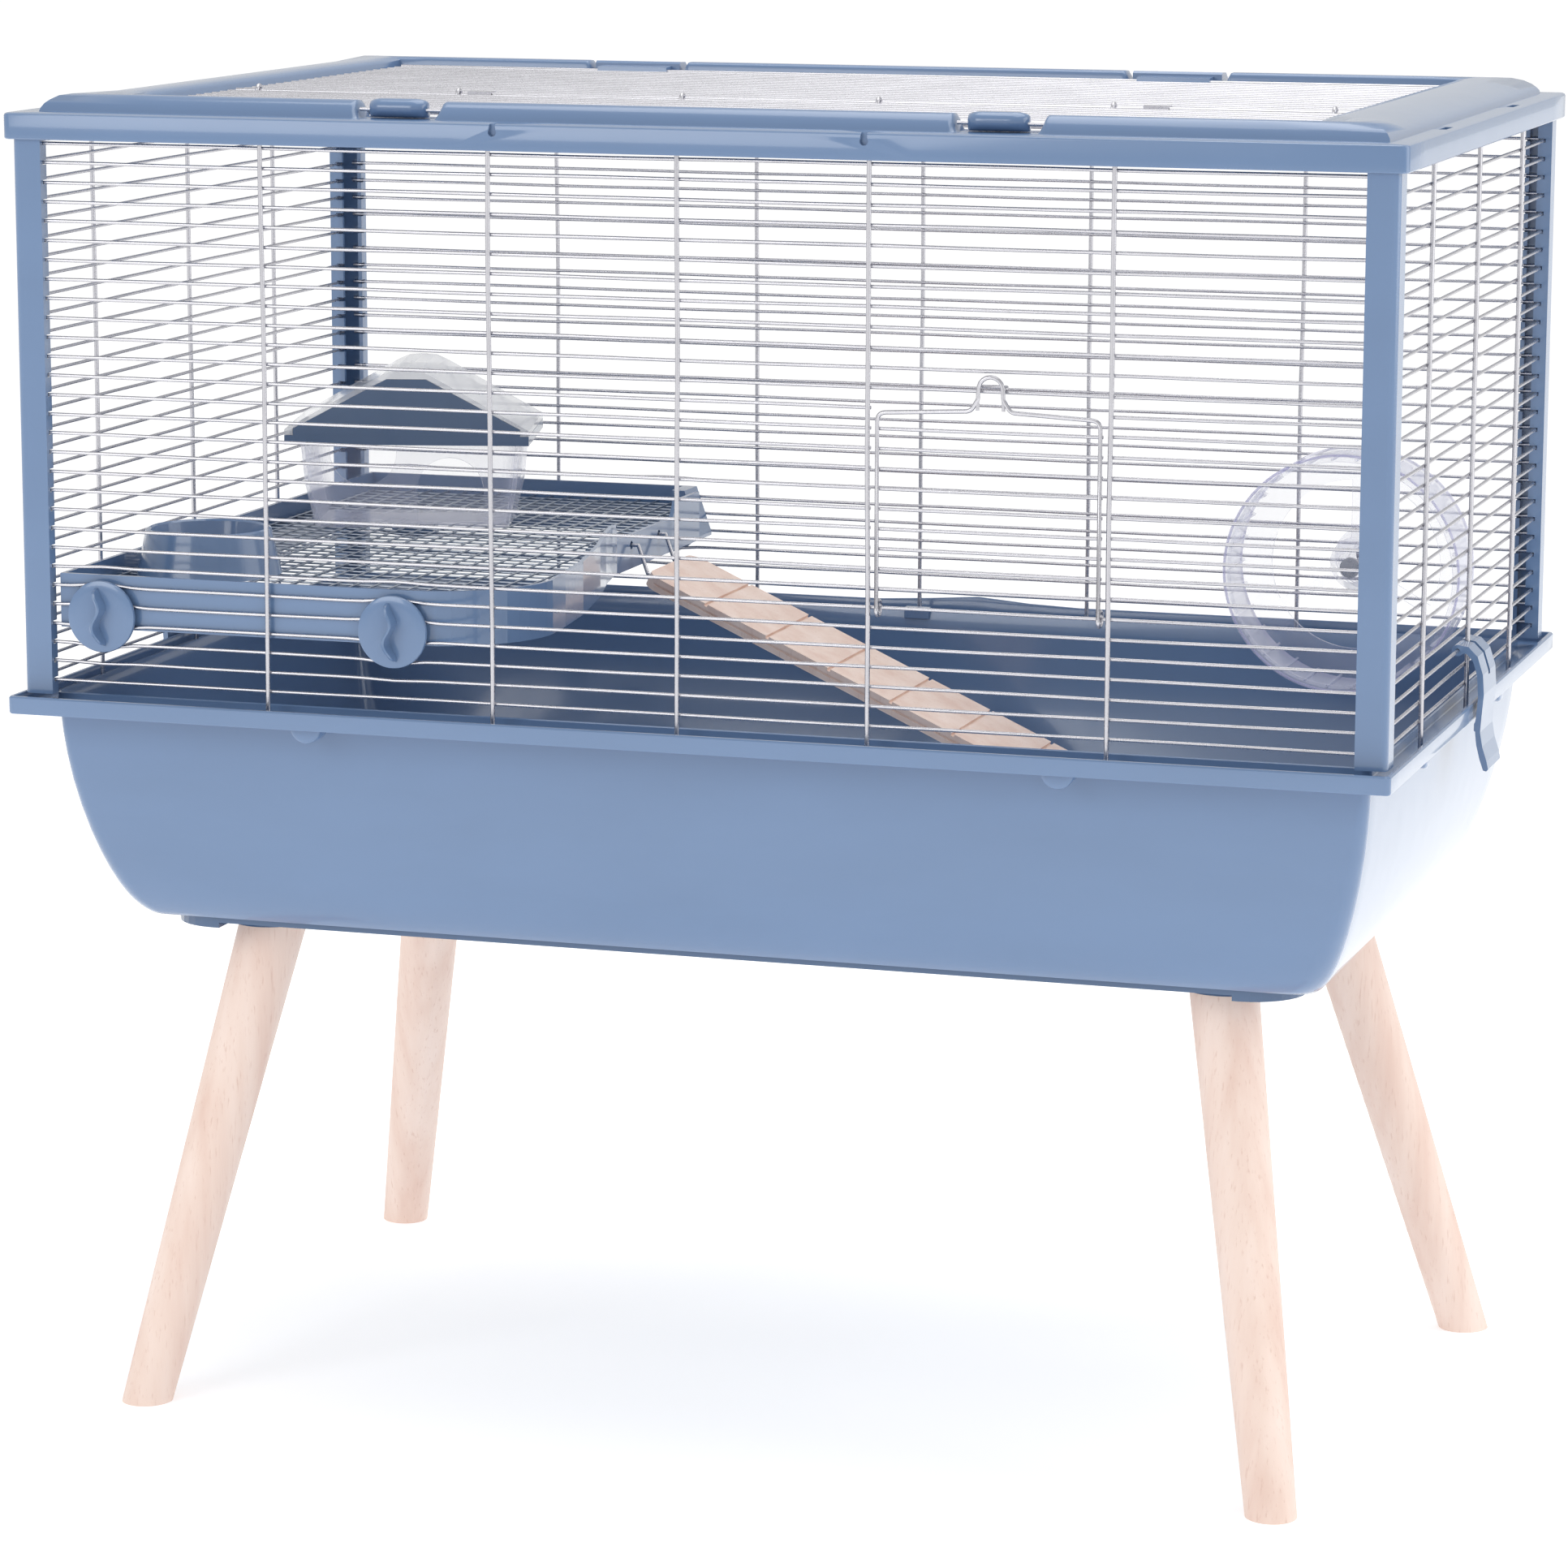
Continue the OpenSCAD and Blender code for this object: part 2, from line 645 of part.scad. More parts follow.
mesh_pitch = 20;
mesh_t = 1.8;
module shelf_mesh() {
    color(wire_grey) translate([0, 0, mesh_z + 0.05]) linear_extrude(1.4) intersection() {
        difference() {
            tray_plan(tray_t + 1);
            translate([tray_right - block_w - 0.5, tray_hy - block_l - 0.5])
                square([block_w + 1, block_l + 1]);
        }
        union() {
            difference() {
                tray_plan(tray_t + 1);
                tray_plan(13);
            }
            for (i = [0:12]) translate([tray_left + 14 + i * mesh_pitch, -tray_hy])
                square([mesh_t, 2 * tray_hy]);
            for (i = [0:21]) translate([tray_left, -tray_hy + 18 + i * mesh_pitch])
                square([280, mesh_t]);
        }
    }
}

knob_x = [-336, -164];
knob_z = (row_z(24) + row_z(25)) / 2;
knob_face = row_y + row_r + 0.4;
knob_t = 3;
shaft_r = 4;
foot_l = 15;
module knob_hole(x, sy) {
    translate([x, sy * (tray_hy - tray_t / 2), knob_z]) rotate([90, 0, 0]) {
        translate([0, 0, -3]) cylinder(h = 6, r = shaft_r + 0.1);
        translate([-foot_l / 2 - 0.5, -2.8, -3]) cube([foot_l + 1, 5.6, 6]);
    }
}
// Knob on the front: disc and finger fin outside the wires, shaft between two wires,
// and a cross foot behind the tray's wall
module knob(x, sy) {
    foot_y0 = tray_hy - tray_t - 0.3;
    color(blue) translate([x, 0, knob_z]) scale([1, -sy, 1]) {
        translate([0, -knob_face, 0]) rotate([90, 0, 0]) cylinder(h = knob_t, r = knob_r, $fn = 64);
        translate([-1.8, -knob_face - 12, -16]) cube([3.6, 12, 32]);
        translate([0, -knob_face - 0.1, 0]) rotate([-90, 0, 0])
            cylinder(h = knob_face - foot_y0 + 2.5, r = shaft_r);
        translate([-2.4, -foot_y0, -foot_l / 2]) cube([4.8, 2.5, foot_l]);
    }
}

// ---------------------------------------------------------------- ramp

ramp_w = 84;
ramp_y = 64;
ramp_l = 370;
ramp_t = 8;
ramp_slope = 24.5;
ramp_start = [-121, 450];
ramp_axis = [tray_right - tray_t / 2, 464];
ramp_hook_y = [ramp_y + 14, ramp_y + ramp_w - 20];
hook_hole_r = 2.5;
groove_pitch = 41.7;

module ramp_frame() {
    translate([ramp_start[0], ramp_y, ramp_start[1]]) rotate([0, ramp_slope, 0]) children();
}

module ramp_board() {
    color(beech) ramp_frame() difference() {
        translate([0, 0, -ramp_t]) linear_extrude(ramp_t) difference() {
            square([ramp_l, ramp_w]);
            ramp_corner();
            translate([0, ramp_w]) scale([1, -1]) ramp_corner();
        }
        for (i = [1:8]) translate([i * groove_pitch - 2, -1, -1.6]) cube([2, ramp_w + 2, 3]);
        for (side = [-1, ramp_w - 0.9]) translate([-1, side, -4.6]) cube([ramp_l + 2, 1.9, 1.2]);
        for (y = ramp_hook_y) translate([-1, y - ramp_y, -ramp_t / 2]) rotate([0, 90, 0])
            cylinder(h = 15, r = hook_r + 0.05);
    }
}
module ramp_corner() {
    difference() {
        translate([-1, -1]) square([11, 11]);
        translate([10, 10]) circle(10);
    }
}

hook_r = 1.2;
hook_taper = 0.06;
// A bar between two points in X and Z, run on a little past both of them
module rod(a, b, r) {
    d = b - a;
    translate([a[0], 0, a[1]]) rotate([0, atan2(d[0], d[1]), 0])
        translate([0, 0, -r / 2]) cylinder(h = norm(d) + r, r = r);
}
module ramp_hooks() {
    away = [cos(ramp_slope), -sin(ramp_slope)];
    down = [-sin(ramp_slope), -cos(ramp_slope)];
    enter = ramp_start + ramp_t / 2 * down;
    points = [ramp_axis + [-5.6, -4.6], ramp_axis + [-5.6, 0], ramp_axis + [5.5, 0],
        enter - 3 * away, enter + 12 * away];
    color(wire_grey) for (y = ramp_hook_y) translate([0, y, 0]) for (i = [0:3])
        rod(points[i], points[i + 1], hook_r - hook_taper * (3 - i));
}

// ---------------------------------------------------------------- bowl and house

bowl_at = [-312, -140];
bowl_h = 26;
loose_z = mesh_z + 1.5;
module bowl() {
    color(blue) translate([bowl_at[0], bowl_at[1], loose_z]) rotate_extrude($fn = 64)
        polygon([[0, 5], [24, 5], [29, 8], [32.4, bowl_h - 1], [33.6, bowl_h],
            [35.4, bowl_h - 0.8], [39, 8], [41, 0], [38.6, 0], [36.6, 4], [0, 3]]);
}

house_at = [-280, 97];
house_turn = 15;
base_h = 51;
base_top = [66, 40];
base_foot = [58.5, 34];
house_t = 2;
module house_frame() {
    translate([house_at[0], house_at[1], loose_z]) rotate([0, 0, house_turn]) children();
}
module base_body(inset, z0, z1) {
    hull() {
        translate([0, 0, z0]) linear_extrude(0.1)
            polygon(rounded(base_foot[0] - inset, base_foot[1] - inset, 12 - inset, 5));
        translate([0, 0, (z0 + z1) / 2]) linear_extrude(0.1)
            polygon(rounded(base_top[0] - 2.2 - inset, base_top[1] - 1.6 - inset, 12 - inset, 5));
        translate([0, 0, z1 - 0.1]) linear_extrude(0.1)
            polygon(rounded(base_top[0] - inset, base_top[1] - inset, 12 - inset, 5));
    }
}
door_arch = [25, 23, 20];
window_arch = [-27, 46, 20];
module house_base() {
    color(clear) house_frame() difference() {
        base_body(0, 0, base_h);
        base_body(house_t, house_t, base_h + 0.2);
        translate([door_arch[0], -20, door_arch[1]]) rotate([90, 0, 0])
            cylinder(h = 40, r = door_arch[2]);
        translate([door_arch[0] - door_arch[2], -60, 4])
            cube([2 * door_arch[2], 40, door_arch[1] - 4]);
        translate([window_arch[0], -20, window_arch[1]]) rotate([90, 0, 0])
            cylinder(h = 40, r = window_arch[2]);
    }
}

eave = [73, 47];
band_h = 5.5;
roof_h = 45;
roof_foot = band_h + 0.3;
roof_side = [[-eave[0], roof_foot], [eave[0], roof_foot], [eave[0], 9], [14, roof_h - 3],
    [8, roof_h - 0.6], [0, roof_h], [-8, roof_h - 0.6], [-14, roof_h - 3], [-eave[0], 9]];
roof_cavity = [[-eave[0] + 3, 4], [eave[0] - 3, 4], [eave[0] - 3, 7.6], [12, roof_h - 5.6],
    [-12, roof_h - 5.6], [-eave[0] + 3, 7.6]];
house_eave_z = base_h + 0.3;
module house_roof() {
    color(clear) house_frame() translate([0, 0, house_eave_z]) difference() {
        along_y(2 * eave[1]) polygon(roof_side);
        translate([0, -0.5, 0]) along_y(2 * eave[1] - 5) polygon(roof_cavity);
        translate([0, -eave[1] + 1.5, 0]) along_y(8)
            polygon([[-68, 4], [68, 4], [68, 9.8], [12, 39.5], [-12, 39.5], [-68, 9.8]]);
    }
}
// Band that the roof sits on, with the gable standing on its front side
module house_gable() {
    color(dark_blue) house_frame() translate([0, 0, house_eave_z]) {
        difference() {
            translate([-eave[0], -eave[1], 0]) cube([2 * eave[0], 2 * eave[1], band_h]);
            translate([-eave[0] + 10, -eave[1] + 10, -1])
                cube([2 * eave[0] - 20, 2 * eave[1] - 20, band_h + 2]);
        }
        translate([0, -eave[1] + 1.3, 0]) along_y(2.2) polygon([[-67.7, 1], [67.7, 1],
            [67.7, 9.6], [11.8, 39.2], [-11.8, 39.2], [-67.7, 9.6]]);
    }
}

// ---------------------------------------------------------------- wheel

wheel_at = [277.5, 150, row_z(25) + 3.4];
wheel_back = wheel_at[1] + wheel_w;
axle_r = 2.2;
tread_n = 30;
module wheel() {
    color(clear) translate(wheel_at) rotate([-90, 0, 0]) difference() {
        union() {
            difference() {
                cylinder(h = wheel_w, r = wheel_r, $fn = 96);
                translate([0, 0, -1]) cylinder(h = wheel_w + 2, r = wheel_r - 2.2, $fn = 96);
            }
            ring_disc(0, 2.4, wheel_r, wheel_r - 4.5);
            ring_disc(wheel_w - 2.4, 2.4, wheel_r, wheel_r - 20);
            for (i = [0:2]) rotate([0, 0, 120 * i + 30]) translate([8, -3, wheel_w - 2.4])
                cube([wheel_r - 14, 6, 2.4]);
            translate([0, 0, wheel_w - 16]) cylinder(h = 16, r1 = 9, r2 = 16);
            for (i = [0:tread_n - 1]) rotate([0, 0, i * 360 / tread_n])
                translate([wheel_r - 4, -0.7, 1]) cube([3, 1.4, wheel_w - 2]);
        }
        translate([0, 0, wheel_w - 30]) cylinder(h = 60, r = axle_r + 0.08);
    }
}
module ring_disc(z, t, r, inner) {
    translate([0, 0, z]) difference() {
        cylinder(h = t, r = r, $fn = 96);
        translate([0, 0, -1]) cylinder(h = t + 2, r = inner, $fn = 96);
    }
}

pad_r = 19;
axle_end = 241 - wheel_back;
bracket_end = row_y - row_r - 0.1 - wheel_back;
// Steel pin with a cap in front, screwed through the bracket
module wheel_axle() {
    color(wire_grey) translate([wheel_at[0], wheel_back, wheel_at[2]]) rotate([-90, 0, 0]) {
        translate([0, 0, -19.5]) cylinder(h = 19.5 + axle_end, r = axle_r);
        translate([0, 0, -19.5]) cylinder(h = 3, r = 6);
    }
}
module wheel_bracket() {
    color(clear) translate([wheel_at[0], wheel_back, wheel_at[2]]) rotate([-90, 0, 0]) difference() {
        union() {
            translate([0, 0, 1]) cylinder(h = bracket_end - 2, r1 = 7, r2 = 10);
            translate([0, 0, bracket_end - 4]) cylinder(h = 4, r = pad_r);
        }
        translate([0, 0, -1]) cylinder(h = 60, r = axle_r + 0.02);
    }
}
module wheel_clamp() {
    color(clear) translate([wheel_at[0], row_y + row_r + 0.2, wheel_at[2]]) rotate([-90, 0, 0])
        difference() {
            cylinder(h = 3, r = pad_r);
            translate([0, 0, -1]) cylinder(h = 30, r = axle_r + 0.2);
        }
}
module wheel_nut() {
    color(dark_blue) translate([wheel_at[0], row_y + row_r + 3.4, wheel_at[2]])
        rotate([-90, 0, 0]) difference() {
            cylinder(h = 4, r = 8);
            translate([0, 0, -1]) cylinder(h = 30, r = axle_r + 0.02);
        }
}

// ---------------------------------------------------------------- bottle bracket

bracket_at = [-350, 522];
bracket_y = row_y - row_r - 4.3;
module bottle_bracket() {
    color(blue) translate([bracket_at[0], bracket_y, bracket_at[1]]) {
        along_y(8) difference() {
            polygon([[-13, -14], [13, -14], [17, 11], [14, 14], [-9, 14], [-12, 11]]);
            polygon([[-9.5, -11], [9.6, -11], [13, 10.5], [-8.6, 10.5]]);
        }
    }
}

stand_plate();
leg(0);  // leg_front_left
leg(1);  // leg_front_right
leg(2);  // leg_back_left
leg(3);  // leg_back_right
leg_screws();
bin();
roof_frame();
post(-1, -1);  // post_front_left
post(1, -1);  // post_front_right
post(-1, 1);  // post_back_left
post(1, 1);  // post_back_right
panel_front();
panel_back();
panel_side(-1);  // panel_left
panel_side(1);  // panel_right
lid_hinges();
lid_rear();
lid_clips();
lid_front();
latch(latch_x[0]);  // latch_left
latch(latch_x[1]);  // latch_right
latch_pins();
door();
clip(-1, uprights_left[1]);  // clip_left
clip(1, uprights_right[1]);  // clip_right
shelf_tray();
shelf_mesh();
knob(knob_x[0], -1);  // knob_front_left
knob(knob_x[1], -1);  // knob_front_right
knob(knob_x[0], 1);  // knob_back_left
knob(knob_x[1], 1);  // knob_back_right
ramp_board();
ramp_hooks();
bowl();
house_base();
house_roof();
house_gable();
wheel();
wheel_axle();
wheel_bracket();
wheel_clamp();
wheel_nut();
bottle_bracket();
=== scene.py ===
import math

import bpy
import bmesh
from mathutils import Matrix, Vector


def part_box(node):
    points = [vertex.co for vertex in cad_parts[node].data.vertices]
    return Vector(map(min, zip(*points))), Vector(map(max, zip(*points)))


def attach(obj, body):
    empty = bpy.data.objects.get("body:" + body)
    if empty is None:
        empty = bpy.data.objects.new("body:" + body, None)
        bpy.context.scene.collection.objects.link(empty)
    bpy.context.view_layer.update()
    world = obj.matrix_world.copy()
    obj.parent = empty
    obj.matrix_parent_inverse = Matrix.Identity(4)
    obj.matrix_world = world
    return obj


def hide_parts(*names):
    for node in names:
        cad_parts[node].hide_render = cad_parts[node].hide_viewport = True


# Small-rodent cage on four wooden legs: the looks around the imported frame.
# X runs left to right along the front, Y from front to back, Z up. Shapes are in millimetres.
MM = 0.001
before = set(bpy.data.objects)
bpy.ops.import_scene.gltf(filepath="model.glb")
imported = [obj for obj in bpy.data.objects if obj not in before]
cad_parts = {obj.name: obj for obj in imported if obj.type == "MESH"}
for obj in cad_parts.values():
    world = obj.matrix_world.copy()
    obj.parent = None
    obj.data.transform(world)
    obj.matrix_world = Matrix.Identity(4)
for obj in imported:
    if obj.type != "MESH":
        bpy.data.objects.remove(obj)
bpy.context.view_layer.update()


# ------------------------------------------------------------ node helpers

def new_material(name):
    """An empty Principled material: the material, its nodes, its links and its shader."""
    mat = bpy.data.materials.new(name)
    mat.use_nodes = True
    tree = mat.node_tree
    return mat, tree.nodes, tree.links, tree.nodes["Principled BSDF"]


def noise_of(nodes, links, scale, detail=3.0, stretch=(1, 1, 1), turn=(0, 0, 0)):
    """Noise over the object's own coordinates, stretched and turned."""
    coords = nodes.new("ShaderNodeTexCoord")
    mapping = nodes.new("ShaderNodeMapping")
    mapping.inputs["Scale"].default_value = stretch
    mapping.inputs["Rotation"].default_value = turn
    noise = nodes.new("ShaderNodeTexNoise")
    noise.inputs["Scale"].default_value = scale
    noise.inputs["Detail"].default_value = detail
    links.new(coords.outputs["Object"], mapping.inputs["Vector"])
    links.new(mapping.outputs["Vector"], noise.inputs["Vector"])
    return noise.outputs["Fac"]


def ramp_of(nodes, links, value, stops):
    """Colour ramp through (place, colour) stops."""
    ramp = nodes.new("ShaderNodeValToRGB")
    elements = ramp.color_ramp.elements
    while len(elements) < len(stops):
        elements.new(0.5)
    for element, (place, colour) in zip(elements, stops):
        element.position = place
        element.color = (*colour, 1)
    links.new(value, ramp.inputs["Fac"])
    return ramp.outputs["Color"]


def spread(nodes, links, value, low, high):
    """Maps a 0 to 1 value to a range."""
    node = nodes.new("ShaderNodeMapRange")
    node.inputs["To Min"].default_value = low
    node.inputs["To Max"].default_value = high
    links.new(value, node.inputs["Value"])
    return node.outputs["Result"]


def add_bump(nodes, links, shader, height, strength, distance):
    bump = nodes.new("ShaderNodeBump")
    bump.inputs["Strength"].default_value = strength
    bump.inputs["Distance"].default_value = distance
    links.new(height, bump.inputs["Height"])
    links.new(bump.outputs["Normal"], shader.inputs["Normal"])


def mixed(nodes, links, factor, first, second):
    """Mix of two colours by a factor."""
    mix = nodes.new("ShaderNodeMix")
    mix.data_type = "RGBA"
    links.new(factor, mix.inputs["Factor"])
    links.new(first, mix.inputs["A"])
    mix.inputs["B"].default_value = (*second, 1)
    return mix.outputs["Result"]


# ------------------------------------------------------------ materials

FLOOR_GLOW = 0.4


def moulded_plastic(name, base, roughness=0.3, coat=0.25):
    """Injection-moulded plastic: faint flow marks, fine grain, scuffs and paler worn edges."""
    mat, nodes, links, shader = new_material(name)
    flow = noise_of(nodes, links, 9, 4, (1, 1, 3))
    low = tuple(c * 0.97 for c in base)
    high = tuple(min(1, c * 1.03) for c in base)
    colour = ramp_of(nodes, links, flow, [(0.3, low), (0.7, high)])
    geometry = nodes.new("ShaderNodeNewGeometry")
    worn = ramp_of(nodes, links, geometry.outputs["Pointiness"],
                   [(0.58, (0, 0, 0)), (0.72, (0.16, 0.16, 0.16))])
    pale = tuple(min(1, c * 1.25 + 0.05) for c in base)
    links.new(mixed(nodes, links, worn, colour, pale), shader.inputs["Base Color"])
    scuff = noise_of(nodes, links, 55, 6)
    links.new(spread(nodes, links, scuff, roughness - 0.02, roughness + 0.04),
              shader.inputs["Roughness"])
    grain = noise_of(nodes, links, 1400, 2)
    add_bump(nodes, links, shader, grain, 0.06, 0.0002)
    shader.inputs["IOR"].default_value = 1.5
    shader.inputs["Coat Weight"].default_value = coat
    shader.inputs["Coat Roughness"].default_value = 0.08
    return mat


def zinc_wire(name, base, roughness):
    """Bright zinc-plated steel with slightly duller passages."""
    mat, nodes, links, shader = new_material(name)
    patches = noise_of(nodes, links, 30, 4)
    dull = tuple(c * 0.9 for c in base)
    links.new(ramp_of(nodes, links, patches, [(0.35, dull), (0.65, base)]),
              shader.inputs["Base Color"])
    shader.inputs["Metallic"].default_value = 1.0
    fine = noise_of(nodes, links, 400, 3)
    links.new(spread(nodes, links, fine, roughness - 0.08, roughness + 0.12),
              shader.inputs["Roughness"])
    add_bump(nodes, links, shader, fine, 0.05, 0.0001)
    return mat


def beech(name, along):
    """Raw beech whose grain runs along a direction: bands, short dark flecks and pores."""
    mat, nodes, links, shader = new_material(name)
    turn = Vector(along).to_track_quat("Z", "Y").inverted().to_euler()
    bands = noise_of(nodes, links, 60, 3, (1, 1, 0.06), turn)
    colour = ramp_of(nodes, links, bands, [(0.3, (0.81, 0.6, 0.51)), (0.52, (0.88, 0.7, 0.61)),
                                           (0.75, (0.93, 0.77, 0.69))])
    flecks = noise_of(nodes, links, 760, 2, (1, 1, 0.1), turn)
    dark = ramp_of(nodes, links, flecks, [(0.6, (0, 0, 0)), (0.74, (0.45, 0.45, 0.45))])
    links.new(mixed(nodes, links, dark, colour, (0.66, 0.43, 0.34)), shader.inputs["Base Color"])
    links.new(spread(nodes, links, bands, 0.48, 0.66), shader.inputs["Roughness"])
    add_bump(nodes, links, shader, flecks, 0.15, 0.0003)
    return mat


def clear_plastic(name, tint, least, most):
    """Thin clear plastic: nearly invisible face on, denser and violet at grazing angles."""
    mat, nodes, links, shader = new_material(name)
    smears = noise_of(nodes, links, 25, 4)
    pale = tuple(min(1, c * 1.1) for c in tint)
    colour = ramp_of(nodes, links, smears, [(0.3, tint), (0.7, pale)])
    links.new(colour, shader.inputs["Base Color"])
    facing = nodes.new("ShaderNodeLayerWeight")
    facing.inputs["Blend"].default_value = 0.3
    links.new(spread(nodes, links, facing.outputs["Facing"], least, most), shader.inputs["Alpha"])
    links.new(spread(nodes, links, smears, 0.03, 0.12), shader.inputs["Roughness"])
    ripple = noise_of(nodes, links, 60, 2)
    add_bump(nodes, links, shader, ripple, 0.1, 0.0005)
    shader.inputs["IOR"].default_value = 1.5
    return mat


def matte_floor(name):
    mat, nodes, links, shader = new_material(name)
    cloud = noise_of(nodes, links, 0.6, 3)
    pale = ramp_of(nodes, links, cloud, [(0.3, (0.93, 0.93, 0.93)), (0.7, (0.96, 0.96, 0.96))])
    links.new(pale, shader.inputs["Base Color"])
    links.new(pale, shader.inputs["Emission Color"])
    shader.inputs["Emission Strength"].default_value = FLOOR_GLOW
    shader.inputs["Roughness"].default_value = 0.9
    return mat


BLUE = moulded_plastic("blue_plastic", (0.13, 0.215, 0.375), 0.22, 0.7)
NAVY = moulded_plastic("dark_plastic", (0.06, 0.115, 0.22), 0.24, 0.5)
ZINC = zinc_wire("bright_wire", (0.62, 0.615, 0.65), 0.26)
MESH_STEEL = zinc_wire("shelf_steel", (0.5, 0.54, 0.6), 0.35)
CLEAR = clear_plastic("clear_plastic", (0.78, 0.79, 0.92), 0.09, 0.7)
# Denser violet clear plastic, used only for the painted highlight along the wheel's rim edges
PAINTED_RIM_GLOW = clear_plastic("clear_painted_rim_glow", (0.62, 0.6, 0.88), 0.35, 0.8)
CLEAR_ROOF = clear_plastic("clear_roof", (0.78, 0.79, 0.82), 0.3, 0.75)


# ------------------------------------------------------------ mesh helpers

def make_piece(name, verts, faces, body, material, stands_for=(), angle=32):
    """A mesh piece from points in millimetres, smooth except at edges sharper than angle."""
    mesh = bpy.data.meshes.new(name)
    mesh.from_pydata([Vector(v) * MM for v in verts], [], faces)
    tool = bmesh.new()
    tool.from_mesh(mesh)
    bmesh.ops.remove_doubles(tool, verts=tool.verts, dist=1e-6)
    bmesh.ops.recalc_face_normals(tool, faces=tool.faces)
    tool.to_mesh(mesh)
    tool.free()
    for face in mesh.polygons:
        face.use_smooth = True
    mesh.set_sharp_from_angle(angle=math.radians(angle))
    mesh.materials.append(material)
    obj = bpy.data.objects.new(name, mesh)
    bpy.context.scene.collection.objects.link(obj)
    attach(obj, body)
    if stands_for:
        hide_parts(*stands_for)
    return obj


def soften(obj, width, segments=2, angle=35):
    """Rounds a piece's hard edges."""
    mod = obj.modifiers.new("soft_edges", "BEVEL")
    mod.width = width * MM
    mod.segments = segments
    mod.limit_method = "ANGLE"
    mod.angle_limit = math.radians(angle)
    mod.harden_normals = True
    return obj


class Shape:
    """Collects points and faces from several simple forms into one mesh."""

    def __init__(self):
        self.verts = []
        self.faces = []

    def loft(self, rings, closed=False, caps=True):
        """Skin over rings with equal numbers of points."""
        base = len(self.verts)
        count = len(rings[0])
        for ring in rings:
            self.verts += [tuple(p) for p in ring]
        last = len(rings) if closed else len(rings) - 1
        for i in range(last):
            a = base + i * count
            b = base + (i + 1) % len(rings) * count
            for j in range(count):
                k = (j + 1) % count
                self.faces.append((a + j, a + k, b + k, b + j))
        if caps and not closed:
            self.faces.append(tuple(range(base, base + count)))
            top = base + (len(rings) - 1) * count
            self.faces.append(tuple(range(top, top + count)))
        return self

    def prism(self, outline, axis, start, end):
        """Outline in the other two axes drawn out along an axis."""
        def place(p, depth):
            spot = list(p)
            spot.insert(axis, depth)
            return spot
        return self.loft([[place(p, d) for p in outline] for d in (start, end)])

    def box(self, low, high):
        outline = [(low[0], low[1]), (high[0], low[1]), (high[0], high[1]), (low[0], high[1])]
        return self.prism(outline, 2, low[2], high[2])

    def turned(self, profile, at, axis=2, sides=64):
        """Closed profile of (radius, height) turned about an axis."""
        rings = []
        for i in range(sides):
            angle = 2 * math.pi * i / sides
            ring = []
            for radius, height in profile:
                spot = [radius * math.cos(angle), radius * math.sin(angle)]
                spot.insert(axis, height)
                ring.append([s + a for s, a in zip(spot, at)])
            rings.append(ring)
        return self.loft(rings, closed=True)


def rounded_ring(hx, hy, radius, z, corner=8, side=24, bow=0.0):
    """Points of a rectangle with round corners; bow swells its long and short sides."""
    ring = []
    for quarter in range(4):
        sx = 1 if quarter in (0, 3) else -1
        sy = 1 if quarter < 2 else -1
        for i in range(corner + 1):
            angle = math.radians(90 * quarter + 90 * i / corner)
            ring.append([sx * (hx - radius) + radius * math.cos(angle),
                         sy * (hy - radius) + radius * math.sin(angle), z])
        start = ring[-1]
        following = (quarter + 1) % 4
        nx = 1 if following in (0, 3) else -1
        ny = 1 if following < 2 else -1
        angle = math.radians(90 * (quarter + 1))
        end = [nx * (hx - radius) + radius * math.cos(angle),
               ny * (hy - radius) + radius * math.sin(angle), z]
        for i in range(1, side):
            share = i / side
            swell = bow * 4 * share * (1 - share)
            ring.append([start[0] + (end[0] - start[0]) * share + swell * math.cos(angle),
                         start[1] + (end[1] - start[1]) * share + swell * math.sin(angle), z])
    return ring


def smooth_step(x):
    x = max(0.0, min(1.0, x))
    return x * x * (3 - 2 * x)


# ------------------------------------------------------------ bin

BIN_LOW, BIN_HIGH = (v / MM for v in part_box("bin"))
RIM_Z = 412.6
RIM_HX = BIN_HIGH.x
RIM_HY = BIN_HIGH.y
FLANGE_Z = RIM_Z - 6.4
LIP_H = 9.8
LIP_T = 2.8
BODY_HX = 371
BODY_HY = 218.8
BODY_CORNER = 5
BIN_WALL = 2.6
BACK_ARCH = (30, 55, 4)
PEG_X = (-213, 210)
PEG_Y = (-120, 100)


def bin_ring(depth, inset, z=None, side=24):
    """Outline of the bin's body at a share depth of the way down."""
    drawn = 2 * depth + 25 * depth ** 2 + 4 * depth ** 8 + 3 * depth ** 24 + inset
    height = FLANGE_Z - (FLANGE_Z - BIN_LOW.z) * depth if z is None else z
    bow = 1.2 * math.sin(math.pi * min(1, depth * 1.05))
    corner = max(2, BODY_CORNER + 9 * depth - inset)
    return rounded_ring(BODY_HX - drawn, BODY_HY - drawn, corner, height, side=side, bow=bow)


